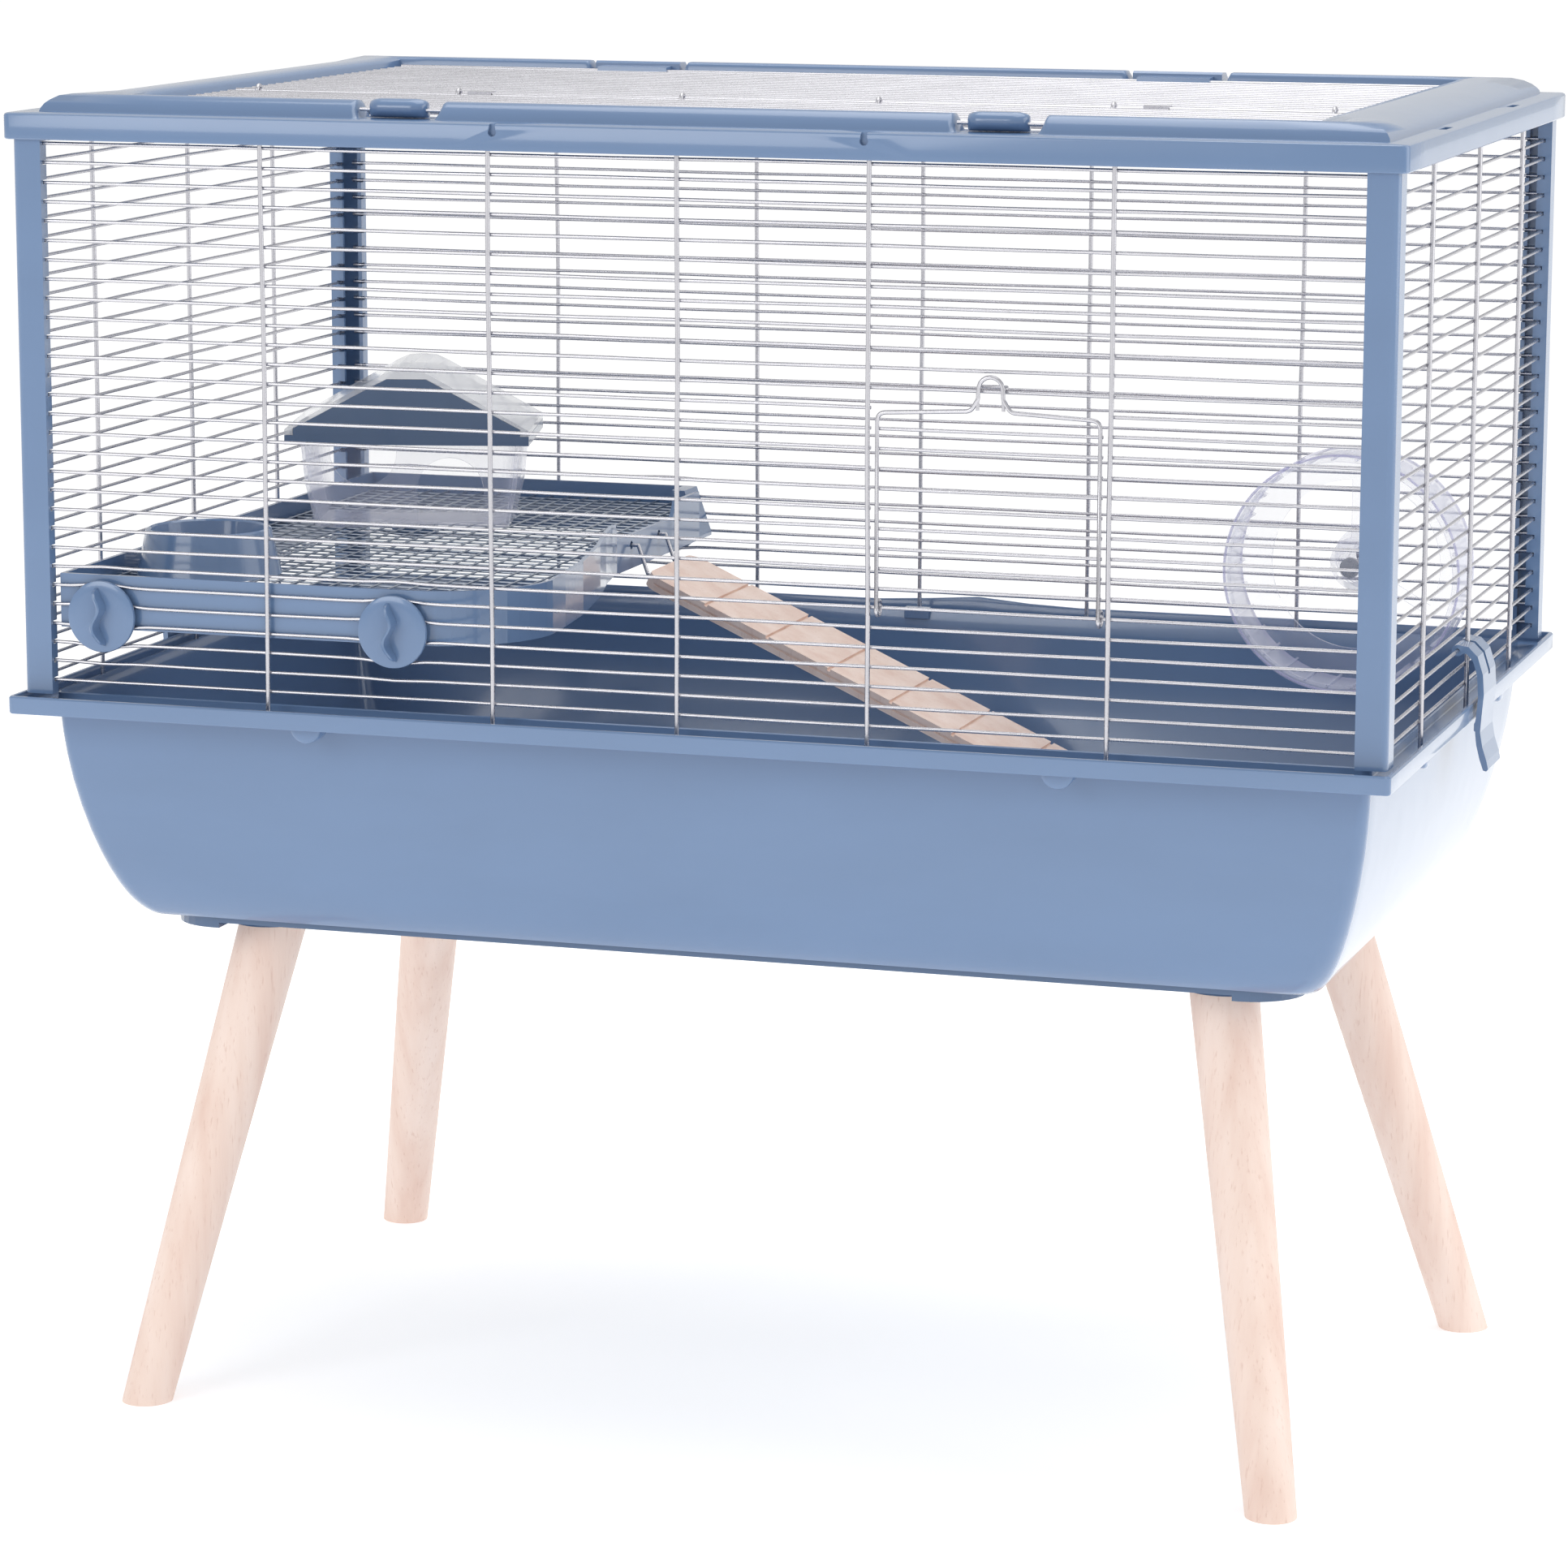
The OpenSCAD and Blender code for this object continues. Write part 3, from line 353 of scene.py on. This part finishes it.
def add_bin():
    down = [0, 0.06, 0.14, 0.24, 0.36, 0.48, 0.6, 0.7, 0.78, 0.85, 0.9, 0.935, 0.965, 0.985, 1]
    floor_z = BIN_LOW.z + 3
    outer = [bin_ring(d, 0) for d in reversed(down)]
    foot = [bin_ring(1, inset, BIN_LOW.z) for inset in (38, 20, 8)]
    flange = [rounded_ring(RIM_HX - 3.4, RIM_HY - 3.4, 1, FLANGE_Z - 2.8, side=24)]
    lip = [rounded_ring(RIM_HX - LIP_T, RIM_HY - LIP_T, 1, RIM_Z - LIP_H),
           rounded_ring(RIM_HX - 0.6, RIM_HY - 0.6, 2.6, RIM_Z - LIP_H),
           rounded_ring(RIM_HX, RIM_HY, 3, RIM_Z - LIP_H + 0.8),
           rounded_ring(RIM_HX, RIM_HY, 3, RIM_Z - 0.9),
           rounded_ring(RIM_HX - 0.8, RIM_HY - 0.8, 2.4, RIM_Z),
           rounded_ring(RIM_HX - LIP_T + 0.5, RIM_HY - LIP_T + 0.5, 1.2, RIM_Z)]
    for ring in lip[3:]:
        raise_back(ring)
    inner_rim = [rounded_ring(RIM_HX - LIP_T, RIM_HY - LIP_T, 1, RIM_Z - 0.6),
                 rounded_ring(RIM_HX - LIP_T, RIM_HY - LIP_T, 1, FLANGE_Z + 0.5),
                 rounded_ring(RIM_HX - LIP_T - 1, RIM_HY - LIP_T - 1, 1, FLANGE_Z),
                 rounded_ring(BODY_HX + 1.2, BODY_HY + 1.2, BODY_CORNER, FLANGE_Z),
                 rounded_ring(BODY_HX + 0.6, BODY_HY + 0.6, BODY_CORNER, FLANGE_Z + 0.6),
                 rounded_ring(BODY_HX + 0.4, BODY_HY + 0.4, BODY_CORNER, RIM_Z - 1.6),
                 rounded_ring(BODY_HX - 0.4, BODY_HY - 0.4, BODY_CORNER, RIM_Z - 1)]
    raise_back(inner_rim[0])
    inner = [bin_ring(d, BIN_WALL, FLANGE_Z - (FLANGE_Z - floor_z) * d) for d in down]
    floor = [bin_ring(1, inset, floor_z) for inset in (10, 22, 38)]
    shape = Shape().loft(foot + outer + flange + lip + inner_rim + inner + floor)
    make_piece("bin_shell", shape.verts, shape.faces, "bin", BLUE, ["bin"], 40)
    add_pegs()


def raise_back(ring):
    """Lifts the rim's back edge into its gentle arch."""
    centre, half, rise = BACK_ARCH
    for point in ring:
        if point[1] > RIM_HY - 8 and abs(point[0] - centre) < half:
            point[2] += rise * (0.5 + 0.5 * math.cos(math.pi * (point[0] - centre) / half))


def add_pegs():
    """Half-round pegs under the rim and the small catch block inside its back edge."""
    shape = Shape()
    for x in PEG_X:
        for side in (-1, 1):
            shape.loft(half_dome(x, side * (RIM_HY - 11), 0, side))
    for y in PEG_Y:
        for side in (-1, 1):
            shape.loft(half_dome(side * (RIM_HX - 9), y, side, 0))
    shape.box((-6.5, BODY_HY - 4.5, FLANGE_Z), (9, BODY_HY + 1, RIM_Z + 0.4))
    piece = make_piece("rim_pegs", shape.verts, shape.faces, "bin", BLUE)
    soften(piece, 0.5)


def half_dome(x, y, out_x, out_y):
    """Rings of a half-round peg hanging under the flange and facing outwards."""
    rings = []
    for depth, radius in ((-7, 9.2), (2.6, 9.2), (3.6, 8.9), (4.3, 8.0), (4.6, 6.4)):
        ring = []
        for i in range(17):
            angle = math.pi * i / 16
            across = radius * math.cos(angle)
            drop = -radius * math.sin(angle)
            ring.append([x + out_x * depth + (across if out_y else 0),
                         y + out_y * depth + (across if out_x else 0), FLANGE_Z - 2.6 + drop])
        rings.append(ring)
    return rings


# ------------------------------------------------------------ roof frame

ROOF_LOW, ROOF_HIGH = (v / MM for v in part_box("roof_frame"))
ROOF_Z = 732.7
ROOF_HX = ROOF_HIGH.x
ROOF_HY = ROOF_HIGH.y
SKIRT_Z = ROOF_LOW.z
ROOF_PLATE = 2.8
RIDGE_H = 9.3
OPEN_HX = 330
OPEN_FRONT = -198
OPEN_BACK = 204
LEDGE = 8
LATCH_X = (-166, 167)
LATCH_GAP = (-24, 25)
HINGE_X = (-175, 162)
HINGE_GAP = (-31, 31)
KEYHOLE_R = 2.3
KEYHOLE_DROP = 4.4

# Cross-sections of the ridge round the opening: distance outwards and height, inner edge first
FRONT_RIDGE = [(0, -0.4), (0, 6.2), (0.8, 7.9), (2.6, 8.8), (6, 9.2), (9.5, 9.3), (12.5, 8.4),
               (15, 6.2), (17, 4.2), (18.6, 1.8), (20, -0.4)]
BACK_RIDGE = [(0, -0.4), (0.4, 7.4), (1.2, 8.6), (3, 9.3), (7, 9.4), (12, 9), (15, 7.6),
              (17.4, 5.6), (19.2, 3.6), (20.6, 1.8), (22, -0.4)]


def side_ridge():
    """The side ridge is a broad half arch falling outwards."""
    crest = [(0, -0.4), (0, 6.3), (2.2, 8.6), (9, RIDGE_H)]
    fall = [(9 + 35 * math.sin(math.radians(a)), RIDGE_H * math.cos(math.radians(a)))
            for a in (18, 34, 48, 60, 70, 80)]
    return crest + fall + [(44, -0.4)]


def ridge_height(x, spots, gap):
    """Share of the ridge's full height at x: nothing inside the gaps, eased at their edges."""
    share = 1.0
    for spot in spots:
        inside = min(x - (spot + gap[0]), (spot + gap[1]) - x)
        share = min(share, 1 - smooth_step((inside + 1.5) / 5))
    return share


def ridge_stations():
    """Rings of points across the ridge, right round the opening."""
    side = side_ridge()
    xs = sorted({-OPEN_HX + 2 * OPEN_HX * i / 40 for i in range(41)}
                | {spot + edge + d for spots, gap in ((LATCH_X, LATCH_GAP), (HINGE_X, HINGE_GAP))
                   for spot in spots for edge in gap for d in (-3, -2, -1, 0, 1, 2, 3)})

    def across(x, profile, high, edge, outwards):
        """The ridge's section at x; at the opening's corners it stretches to the side ridge."""
        stretch = max(0, (abs(x) - OPEN_HX + 4) / 4) * (1 if x > 0 else -1)
        return [[x + aside * stretch, edge + outwards * out, ROOF_Z - 0.4 + (top + 0.4) * high]
                for (out, top), (aside, _) in zip(profile, side)]

    rings = [across(x, FRONT_RIDGE, ridge_height(x, LATCH_X, LATCH_GAP), OPEN_FRONT, -1)
             for x in xs]
    for i in range(1, 12):
        y = OPEN_FRONT + (OPEN_BACK - OPEN_FRONT) * i / 12
        rings.append([[OPEN_HX + out, y, ROOF_Z + top] for out, top in side])
    rings += [across(x, BACK_RIDGE, ridge_height(x, HINGE_X, HINGE_GAP), OPEN_BACK, 1)
              for x in reversed(xs)]
    for i in range(11, 0, -1):
        y = OPEN_FRONT + (OPEN_BACK - OPEN_FRONT) * i / 12
        rings.append([[-OPEN_HX - out, y, ROOF_Z + top] for out, top in side])
    return rings


def opening_ring(grow, z):
    """Outline of the opening under the lid, at a height."""
    half = (OPEN_BACK - OPEN_FRONT) / 2 - LEDGE + grow
    middle = (OPEN_BACK + OPEN_FRONT) / 2
    ring = rounded_ring(OPEN_HX - LEDGE + grow, half, 3, z, corner=4, side=12)
    return [[x, y + middle, level] for x, y, level in ring]


def skirt_ring(inset, radius, z):
    return rounded_ring(ROOF_HX - inset, ROOF_HY - inset, radius, z, corner=4, side=12)


def carve(obj, shape):
    """Cuts a closed shape out of a piece."""
    mesh = bpy.data.meshes.new("cutter")
    mesh.from_pydata([Vector(v) * MM for v in shape.verts], [], shape.faces)
    tool = bmesh.new()
    tool.from_mesh(mesh)
    bmesh.ops.recalc_face_normals(tool, faces=tool.faces)
    tool.to_mesh(mesh)
    tool.free()
    cutter = bpy.data.objects.new("cutter", mesh)
    bpy.context.scene.collection.objects.link(cutter)
    mod = obj.modifiers.new("cut", "BOOLEAN")
    mod.object = cutter
    mod.solver = "EXACT"
    bpy.context.view_layer.update()
    done = obj.evaluated_get(bpy.context.evaluated_depsgraph_get())
    obj.data = bpy.data.meshes.new_from_object(done)
    obj.modifiers.remove(mod)
    bpy.data.objects.remove(cutter)


def add_roof_frame():
    under = ROOF_Z - ROOF_PLATE
    rings = [skirt_ring(3, 2, SKIRT_Z), skirt_ring(0.6, 4.4, SKIRT_Z),
             skirt_ring(0, 5, SKIRT_Z + 0.7), skirt_ring(0, 5, ROOF_Z - 1.6),
             skirt_ring(0.5, 4.6, ROOF_Z - 0.5), skirt_ring(1.6, 3.6, ROOF_Z),
             opening_ring(0.6, ROOF_Z), opening_ring(0, ROOF_Z - 0.6),
             opening_ring(0, under), skirt_ring(3, 2, under)]
    shape = Shape().loft(rings, closed=True)
    plate = make_piece("roof_plate", shape.verts, shape.faces, "cage", BLUE,
                       ["roof_frame"])
    cuts = Shape()
    for side in (-1, 1):
        for y in (-112, 88):
            x = side * (ROOF_HX - 7)
            cuts.box((x - 2, y, under - 1), (x + 2, y + 20, ROOF_Z + 1))
    for x in (-102.5, 102.5):
        outline = [(x + KEYHOLE_R * math.cos(math.radians(a)),
                    ROOF_Z - KEYHOLE_DROP + KEYHOLE_R * math.sin(math.radians(a)))
                   for a in range(-210, 31, 20)]
        outline += [(x + 1.5, ROOF_Z + 1), (x - 1.5, ROOF_Z + 1)]
        cuts.prism(outline, 1, -ROOF_HY - 1, -ROOF_HY + 2.6)
    carve(plate, cuts)
    ridge = Shape().loft(ridge_stations(), closed=True)
    make_piece("roof_ridge", ridge.verts, ridge.faces, "cage", BLUE, angle=50)


# ------------------------------------------------------------ roof latches

LATCH_AXIS = (-210.5, 737.3)
LATCH_W = 33


def add_latch(side, x):
    """Plump rocker with round ends and a nose that holds the flap."""
    section = [(-1.5, -4), (-3.6, -3), (-5.6, -1.2), (-6.4, 0.8), (-5.9, 3.2), (-4, 5.2),
               (-0.6, 6.1), (3.6, 5.9), (7.4, 5.1), (9.2, 3.6), (9.5, 0.6), (9.4, -3.4), (5, -4)]
    rings = []
    steps = 30
    for i in range(steps + 1):
        along = -LATCH_W / 2 * math.cos(math.pi * i / steps)
        end = max(0.0, (abs(along) - LATCH_W / 2 + 8) / 8)
        size = 0.12 + 0.88 * math.sqrt(max(0.0, 1 - end ** 2))
        rings.append([[x + along, LATCH_AXIS[0] + 2 + (y - 2) * size,
                       LATCH_AXIS[1] + (z if z < 0 else z * (0.5 + 0.5 * size))]
                      for y, z in section])
    shape = Shape().loft(rings)
    shape.box((x - 8, LATCH_AXIS[0] + 8, LATCH_AXIS[1] + 0.4), (x + 8, LATCH_AXIS[0] + 17.4,
                                                                LATCH_AXIS[1] + 3))
    node = "latch_" + side
    make_piece(node + "_rocker", shape.verts, shape.faces, node, BLUE, [node], 50)


# ------------------------------------------------------------ wires

def add_wires(name, paths, radius, body, material, stands_for=()):
    """Round wires along paths of points in millimetres, one curve object for them all."""
    curve = bpy.data.curves.new(name, "CURVE")
    curve.dimensions = "3D"
    curve.bevel_depth = radius * MM
    curve.bevel_resolution = 2
    curve.use_fill_caps = True
    for path in paths:
        spline = curve.splines.new("POLY")
        spline.points.add(len(path) - 1)
        for point, spot in zip(spline.points, path):
            point.co = (*(Vector(spot) * MM), 1)
        spline.use_smooth = True
    curve.materials.append(material)
    obj = bpy.data.objects.new(name, curve)
    bpy.context.scene.collection.objects.link(obj)
    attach(obj, body)
    if stands_for:
        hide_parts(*stands_for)
    return obj


def bent(points, radius, steps=6):
    """A path through the points with round bends."""
    path = [Vector(points[0])]
    for before, here, after in zip(points, points[1:], points[2:]):
        here = Vector(here)
        back = (Vector(before) - here)
        ahead = (Vector(after) - here)
        angle = back.angle(ahead)
        reach = min(radius / math.tan(angle / 2), back.length * 0.49, ahead.length * 0.49)
        start = here + back.normalized() * reach
        end = here + ahead.normalized() * reach
        for i in range(steps + 1):
            t = i / steps
            path.append((1 - t) ** 2 * start + 2 * t * (1 - t) * here + t ** 2 * end)
    path.append(Vector(points[-1]))
    return path


def row_z(k):
    """Height of the centre of horizontal wire k, counted down from the top."""
    return 716.2 - 10.556 * k


ROWS = 29
ROW_R = 0.95
UPRIGHT_R = 1.35
ROW_Y = 230.05
ROW_X = 378.05
UPRIGHT_Y = 232
UPRIGHT_X = 380
UPRIGHTS = (-237.5, -107, -1.5, 104, 234.5)
SIDE_UPRIGHTS = {-1: (-138, -7, 119), 1: (-129, 3, 136)}
ROW_END_X = 373
ROW_END_Y = 224
UPRIGHT_SPAN = (FLANGE_Z + 0.3, ROOF_Z - ROOF_PLATE - 0.3)
KNOB_X = (-336, -164)
KNOB_Z = (row_z(24) + row_z(25)) / 2
DOOR_ROWS = range(12, 22)


def drift(k, place):
    """Small steady unevenness of a drawn wire."""
    return 0.16 * math.sin(1.7 * k + place / 61) + 0.08 * math.sin(4.1 * k + place / 23)


def row_path(k, start, end, fixed, along_x, knobs=True):
    """One horizontal wire; rows beside the knobs bend a little round the knobs' shafts."""
    path = []
    steps = max(2, int((end - start) / 9))
    for i in range(steps + 1):
        place = start + (end - start) * i / steps
        level = row_z(k) + drift(k, place)
        if along_x and knobs and 22 <= k <= 27:
            push = {22: 0.7, 23: 1.6, 24: 3.2, 25: -3.2, 26: -1.6, 27: -0.7}[k]
            level += sum(push * math.exp(-((place - x) / 13) ** 2) for x in KNOB_X)
        path.append((place, fixed, level) if along_x else (fixed, place, level))
    return path


def add_panels():
    for name, side in (("front", -1), ("back", 1)):
        rows = []
        for k in range(ROWS):
            spans = [(-ROW_END_X, ROW_END_X)]
            if side < 0 and k in DOOR_ROWS:
                spans = [(-ROW_END_X, UPRIGHTS[3] + 1), (UPRIGHTS[4] - 1, ROW_END_X)]
            rows += [row_path(k, a, b, side * ROW_Y, True) for a, b in spans]
        add_wires(f"rows_{name}", rows, ROW_R, "cage", ZINC, [f"panel_{name}"])
        posts = [[(x + drift(x, z) * 2, side * UPRIGHT_Y, z) for z in spread_out(*UPRIGHT_SPAN, 12)]
                 for x in UPRIGHTS]
        add_wires(f"uprights_{name}", posts, UPRIGHT_R, "cage", ZINC)
    for name, side in (("left", -1), ("right", 1)):
        rows = [row_path(k, -ROW_END_Y, ROW_END_Y, side * ROW_X, False) for k in range(ROWS)]
        add_wires(f"rows_{name}", rows, ROW_R, "cage", ZINC, [f"panel_{name}"])
        posts = [[(side * UPRIGHT_X, y + drift(y, z) * 2, z) for z in spread_out(*UPRIGHT_SPAN, 12)]
                 for y in SIDE_UPRIGHTS[side]]
        add_wires(f"uprights_{name}", posts, UPRIGHT_R, "cage", ZINC)


def spread_out(start, end, steps):
    return [start + (end - start) * i / steps for i in range(steps + 1)]


# ------------------------------------------------------------ door

def add_door():
    """Bent-wire door: one frame wire with an omega hook, eyes round the hinge wire, cross wires."""
    left, right = 109.4, 229.4
    plane = -ROW_Y - 3.6
    hinge_z = row_z(22)
    top = row_z(12) - 1
    eye = [(-ROW_Y + 4 * math.sin(math.radians(a)), hinge_z + 4 * math.cos(math.radians(a)))
           for a in range(-90, -391, -20)]
    frame_path = [(left, y, z) for y, z in reversed(eye)]
    corners = [(left, plane, hinge_z), (left, plane, top - 1), (160, plane, top + 1.5),
               (163.9, plane, top + 8), (163.9, plane, top + 10)]
    frame_path += bent(corners, 5)
    centre = (170.6, top + 13)
    frame_path += [(centre[0] + 6.6 * math.sin(math.radians(a)), plane,
                    centre[1] + 6.6 * math.cos(math.radians(a))) for a in range(-100, 101, 20)]
    corners = [(177.4, plane, top + 10), (177.4, plane, top + 8), (181.4, plane, top + 1.5),
               (right, plane, top - 1), (right, plane, hinge_z)]
    frame_path += bent(corners, 5)
    frame_path += [(right, y, z) for y, z in eye]
    add_wires("door_frame", [frame_path], 1.15, "door", ZINC, ["door"])
    rows = [[(left - 1.2, plane + 1.75, row_z(k)), (right + 1.2, plane + 1.75, row_z(k))]
            for k in DOOR_ROWS if k > DOOR_ROWS[0]]
    hook_z = row_z(11) + 2.3
    hooks = [bent([(x, plane, top + 2), (x, plane, hook_z), (x, plane + 7.5, hook_z),
                   (x + 7 * side, plane + 7.5, hook_z)], 1.2)
             for x, side in ((163.7, 1), (177.6, -1))]
    add_wires("door_rows", rows + hooks, ROW_R, "door", ZINC)


# ------------------------------------------------------------ knobs

# Half the finger fin's thickness at its foot and at its top
FIN_FOOT = 1.4
FIN_TOP = 0.9


def add_knob(name, x, side):
    """Disc with a rounded rim and a wavy finger fin, its shaft and its cross foot."""
    face = ROW_Y + ROW_R + 0.4
    def out(distance):
        return side * (face + distance)
    profile = [(0.01, out(0)), (19, out(0)), (19.8, out(0.6)), (20, out(1.6)), (19.6, out(2.6)),
               (18.4, out(3.1)), (14, out(3.4)), (0.01, out(3.6))]
    shape = Shape().turned(profile, (x, 0, KNOB_Z), axis=1)
    rings = []
    for i in range(25):
        z = -16 + 32 * i / 24
        sway = 2.1 * math.sin(2 * math.pi * z / 21)
        tall = 3 + 8.6 * math.sqrt(max(0.0, 1 - (z / 16) ** 4))
        across = ((-FIN_FOOT, 2.8), (-FIN_TOP, tall), (0, tall + 0.6), (FIN_TOP, tall),
                  (FIN_FOOT, 2.8))
        rings.append([[x + sway + aside, out(height), KNOB_Z + z] for aside, height in across])
    shape.loft(rings)
    inner = 225.6
    shape.turned([(0.01, out(0.2)), (4, out(0.2)), (4, side * inner), (0.01, side * inner)],
                 (x, 0, KNOB_Z), axis=1, sides=24)
    low_y, high_y = sorted((side * (inner - 2.5), side * inner))
    shape.box((x - 2.4, low_y, KNOB_Z - 7.5), (x + 2.4, high_y, KNOB_Z + 7.5))
    make_piece(f"{name}_disc", shape.verts, shape.faces, name, BLUE, [name], 38)


# ------------------------------------------------------------ shelf mesh

def add_shelf_mesh():
    """Welded mesh floor of the shelf, following the tray's bulging corner."""
    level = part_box("shelf_mesh")[0].z / MM
    left, half = -360.5, 226.4
    edge = [(-167, -97.6), (-140, -100), (-97, -105), (-32, -118), (12, -130), (40, -136),
            (52, -137.5), (203.8, -137.5), (204, -154), (230, -154)]
    def right_edge(y):
        if y < edge[0][0]:
            return -157 + math.sqrt(max(0, 59.4 ** 2 - (y + 167) ** 2))
        for (y0, x0), (y1, x1) in zip(edge, edge[1:]):
            if y <= y1:
                return x0 + (x1 - x0) * (y - y0) / (y1 - y0)
        return edge[-1][1]
    across = []
    along = []
    pitch = 11.6
    for i in range(int(2 * half / pitch) + 1):
        y = -half + 4 + i * pitch
        across.append([(left, y, level + 0.6), (right_edge(y), y, level + 0.6)])
    for i in range(22):
        x = left + 5 + i * pitch
        reach = [y for y in spread_out(-half, half, 90) if right_edge(y) >= x]
        if reach:
            along.append([(x, reach[0], level + 1.4), (x, reach[-1], level + 1.4)])
    add_wires("mesh_floor", across + along, 0.6, "cage", MESH_STEEL, ["shelf_mesh"])


# ------------------------------------------------------------ wheel

WHEEL_X = 277.5
WHEEL_Z = row_z(25) + 3.4
RIM_R = 69.6
WHEEL_RIM_Y = (150.8, 195.2)


def add_wheel_rim_glow():
    """Tubes of denser violet plastic along the clear wheel's rim edges: a painted highlight where
    light gathers in the plastic and makes it read violet.
    """
    glow_loops = []
    for y in WHEEL_RIM_Y:
        glow_loops.append([(WHEEL_X + RIM_R * math.cos(math.radians(a)), y,
                      WHEEL_Z + RIM_R * math.sin(math.radians(a))) for a in range(0, 361, 5)])
    add_wires("wheel_rim_glow", glow_loops, 0.7, "wheel", PAINTED_RIM_GLOW)


# ------------------------------------------------------------ CAD nodes that stay

def dress(node, material, bevel=0.0, segments=2):
    """Gives a CAD node its material and, for moulded or turned parts, softened edges."""
    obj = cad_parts[node]
    obj.data.materials.clear()
    obj.data.materials.append(material)
    if bevel:
        mod = obj.modifiers.new("soft_edges", "BEVEL")
        mod.width = bevel * MM
        mod.segments = segments
        mod.limit_method = "ANGLE"
        mod.angle_limit = math.radians(40)
        mod.harden_normals = True


LEG_LEAN = {"front_left": (56.3, 66.7, 277.3), "front_right": (-47.8, 72.2, 277.3),
            "back_left": (54.1, -73.2, 277.3), "back_right": (-81.7, -41.8, 277.3)}
for leg, lean in LEG_LEAN.items():
    dress("leg_" + leg, beech("beech_" + leg, lean), 2.2, 4)
    dress("post_" + leg, BLUE, 0.35)
for node in ("stand_plate", "house_gable", "wheel_nut"):
    dress(node, NAVY, 0.5)
for node in ("lid_hinges", "shelf_tray", "bowl", "bottle_bracket", "clip_left", "clip_right"):
    dress(node, BLUE, 0.6)
for node in ("lid_rear", "lid_clips", "lid_front", "latch_pins", "ramp_hooks", "wheel_axle",
             "leg_screws"):
    dress(node, ZINC)
dress("ramp_board", beech("beech_ramp", (0.91, 0, -0.415)), 0.8)
for node in ("house_base", "wheel", "wheel_bracket", "wheel_clamp"):
    dress(node, CLEAR, 0.3)
dress("house_roof", CLEAR_ROOF, 0.6)


add_bin()
add_roof_frame()
for side, x in zip(("left", "right"), LATCH_X):
    add_latch(side, x)
add_panels()
add_door()
for place, side in (("front", -1), ("back", 1)):
    for hand, x in zip(("left", "right"), KNOB_X):
        add_knob(f"knob_{place}_{hand}", x, side)
add_shelf_mesh()
add_wheel_rim_glow()


# ------------------------------------------------------------ stage, light and camera

def add_stage():
    """A wide pale floor that fills the picture."""
    half = 60
    mesh = bpy.data.meshes.new("floor")
    mesh.from_pydata([(-half, -half, 0), (half, -half, 0), (half, half, 0), (-half, half, 0)], [],
                     [(0, 1, 2, 3)])
    floor = bpy.data.objects.new("floor", mesh)
    bpy.context.scene.collection.objects.link(floor)
    mesh.materials.append(matte_floor("floor"))


def add_softbox(name, at, target, size, watts):
    """A rectangular lamp aimed at a point."""
    light = bpy.data.lights.new(name, "AREA")
    light.shape = "RECTANGLE"
    light.size, light.size_y = size
    light.energy = watts
    lamp = bpy.data.objects.new(name, light)
    lamp.location = at
    lamp.rotation_euler = (Vector(target) - Vector(at)).to_track_quat("-Z", "Y").to_euler()
    bpy.context.scene.collection.objects.link(lamp)


def add_lights():
    add_softbox("top", (0.2, 0.3, 2.6), (0, 0, 0.4), (2.2, 1.8), 24)
    add_softbox("right", (2.6, 0.2, 1.3), (0.1, 0, 0.5), (1.8, 2.0), 17)
    add_softbox("front", (-1.6, -3.2, 1.9), (0, 0, 0.4), (1.8, 1.6), 26)
    world = bpy.data.worlds.new("studio")
    world.use_nodes = True
    background = world.node_tree.nodes["Background"]
    background.inputs["Color"].default_value = (1, 1, 1, 1)
    background.inputs["Strength"].default_value = 0.7
    bpy.context.scene.world = world


def add_camera():
    """Camera at the photograph's viewing angle, a little above and to the right of the front."""
    azimuth, elevation, roll = (math.radians(a) for a in (17.627, 10.747, 0.125))
    back = Vector((math.sin(azimuth) * math.cos(elevation),
                   -math.cos(azimuth) * math.cos(elevation), math.sin(elevation)))
    right = Vector((math.cos(azimuth), math.sin(azimuth), 0))
    up = back.cross(right)
    turn = Matrix((right, up, back)).transposed().to_4x4() @ Matrix.Rotation(roll, 4, "Z")
    data = bpy.data.cameras.new("camera")
    data.sensor_width = 36
    data.lens = 122.86
    data.clip_end = 200
    camera = bpy.data.objects.new("camera", data)
    camera.matrix_world = Matrix.Translation((0.9046, -2.8954, 0.9174)) @ turn
    bpy.context.scene.collection.objects.link(camera)
    bpy.context.scene.camera = camera


add_stage()
add_lights()
add_camera()
bpy.context.scene.view_settings.view_transform = "Standard"
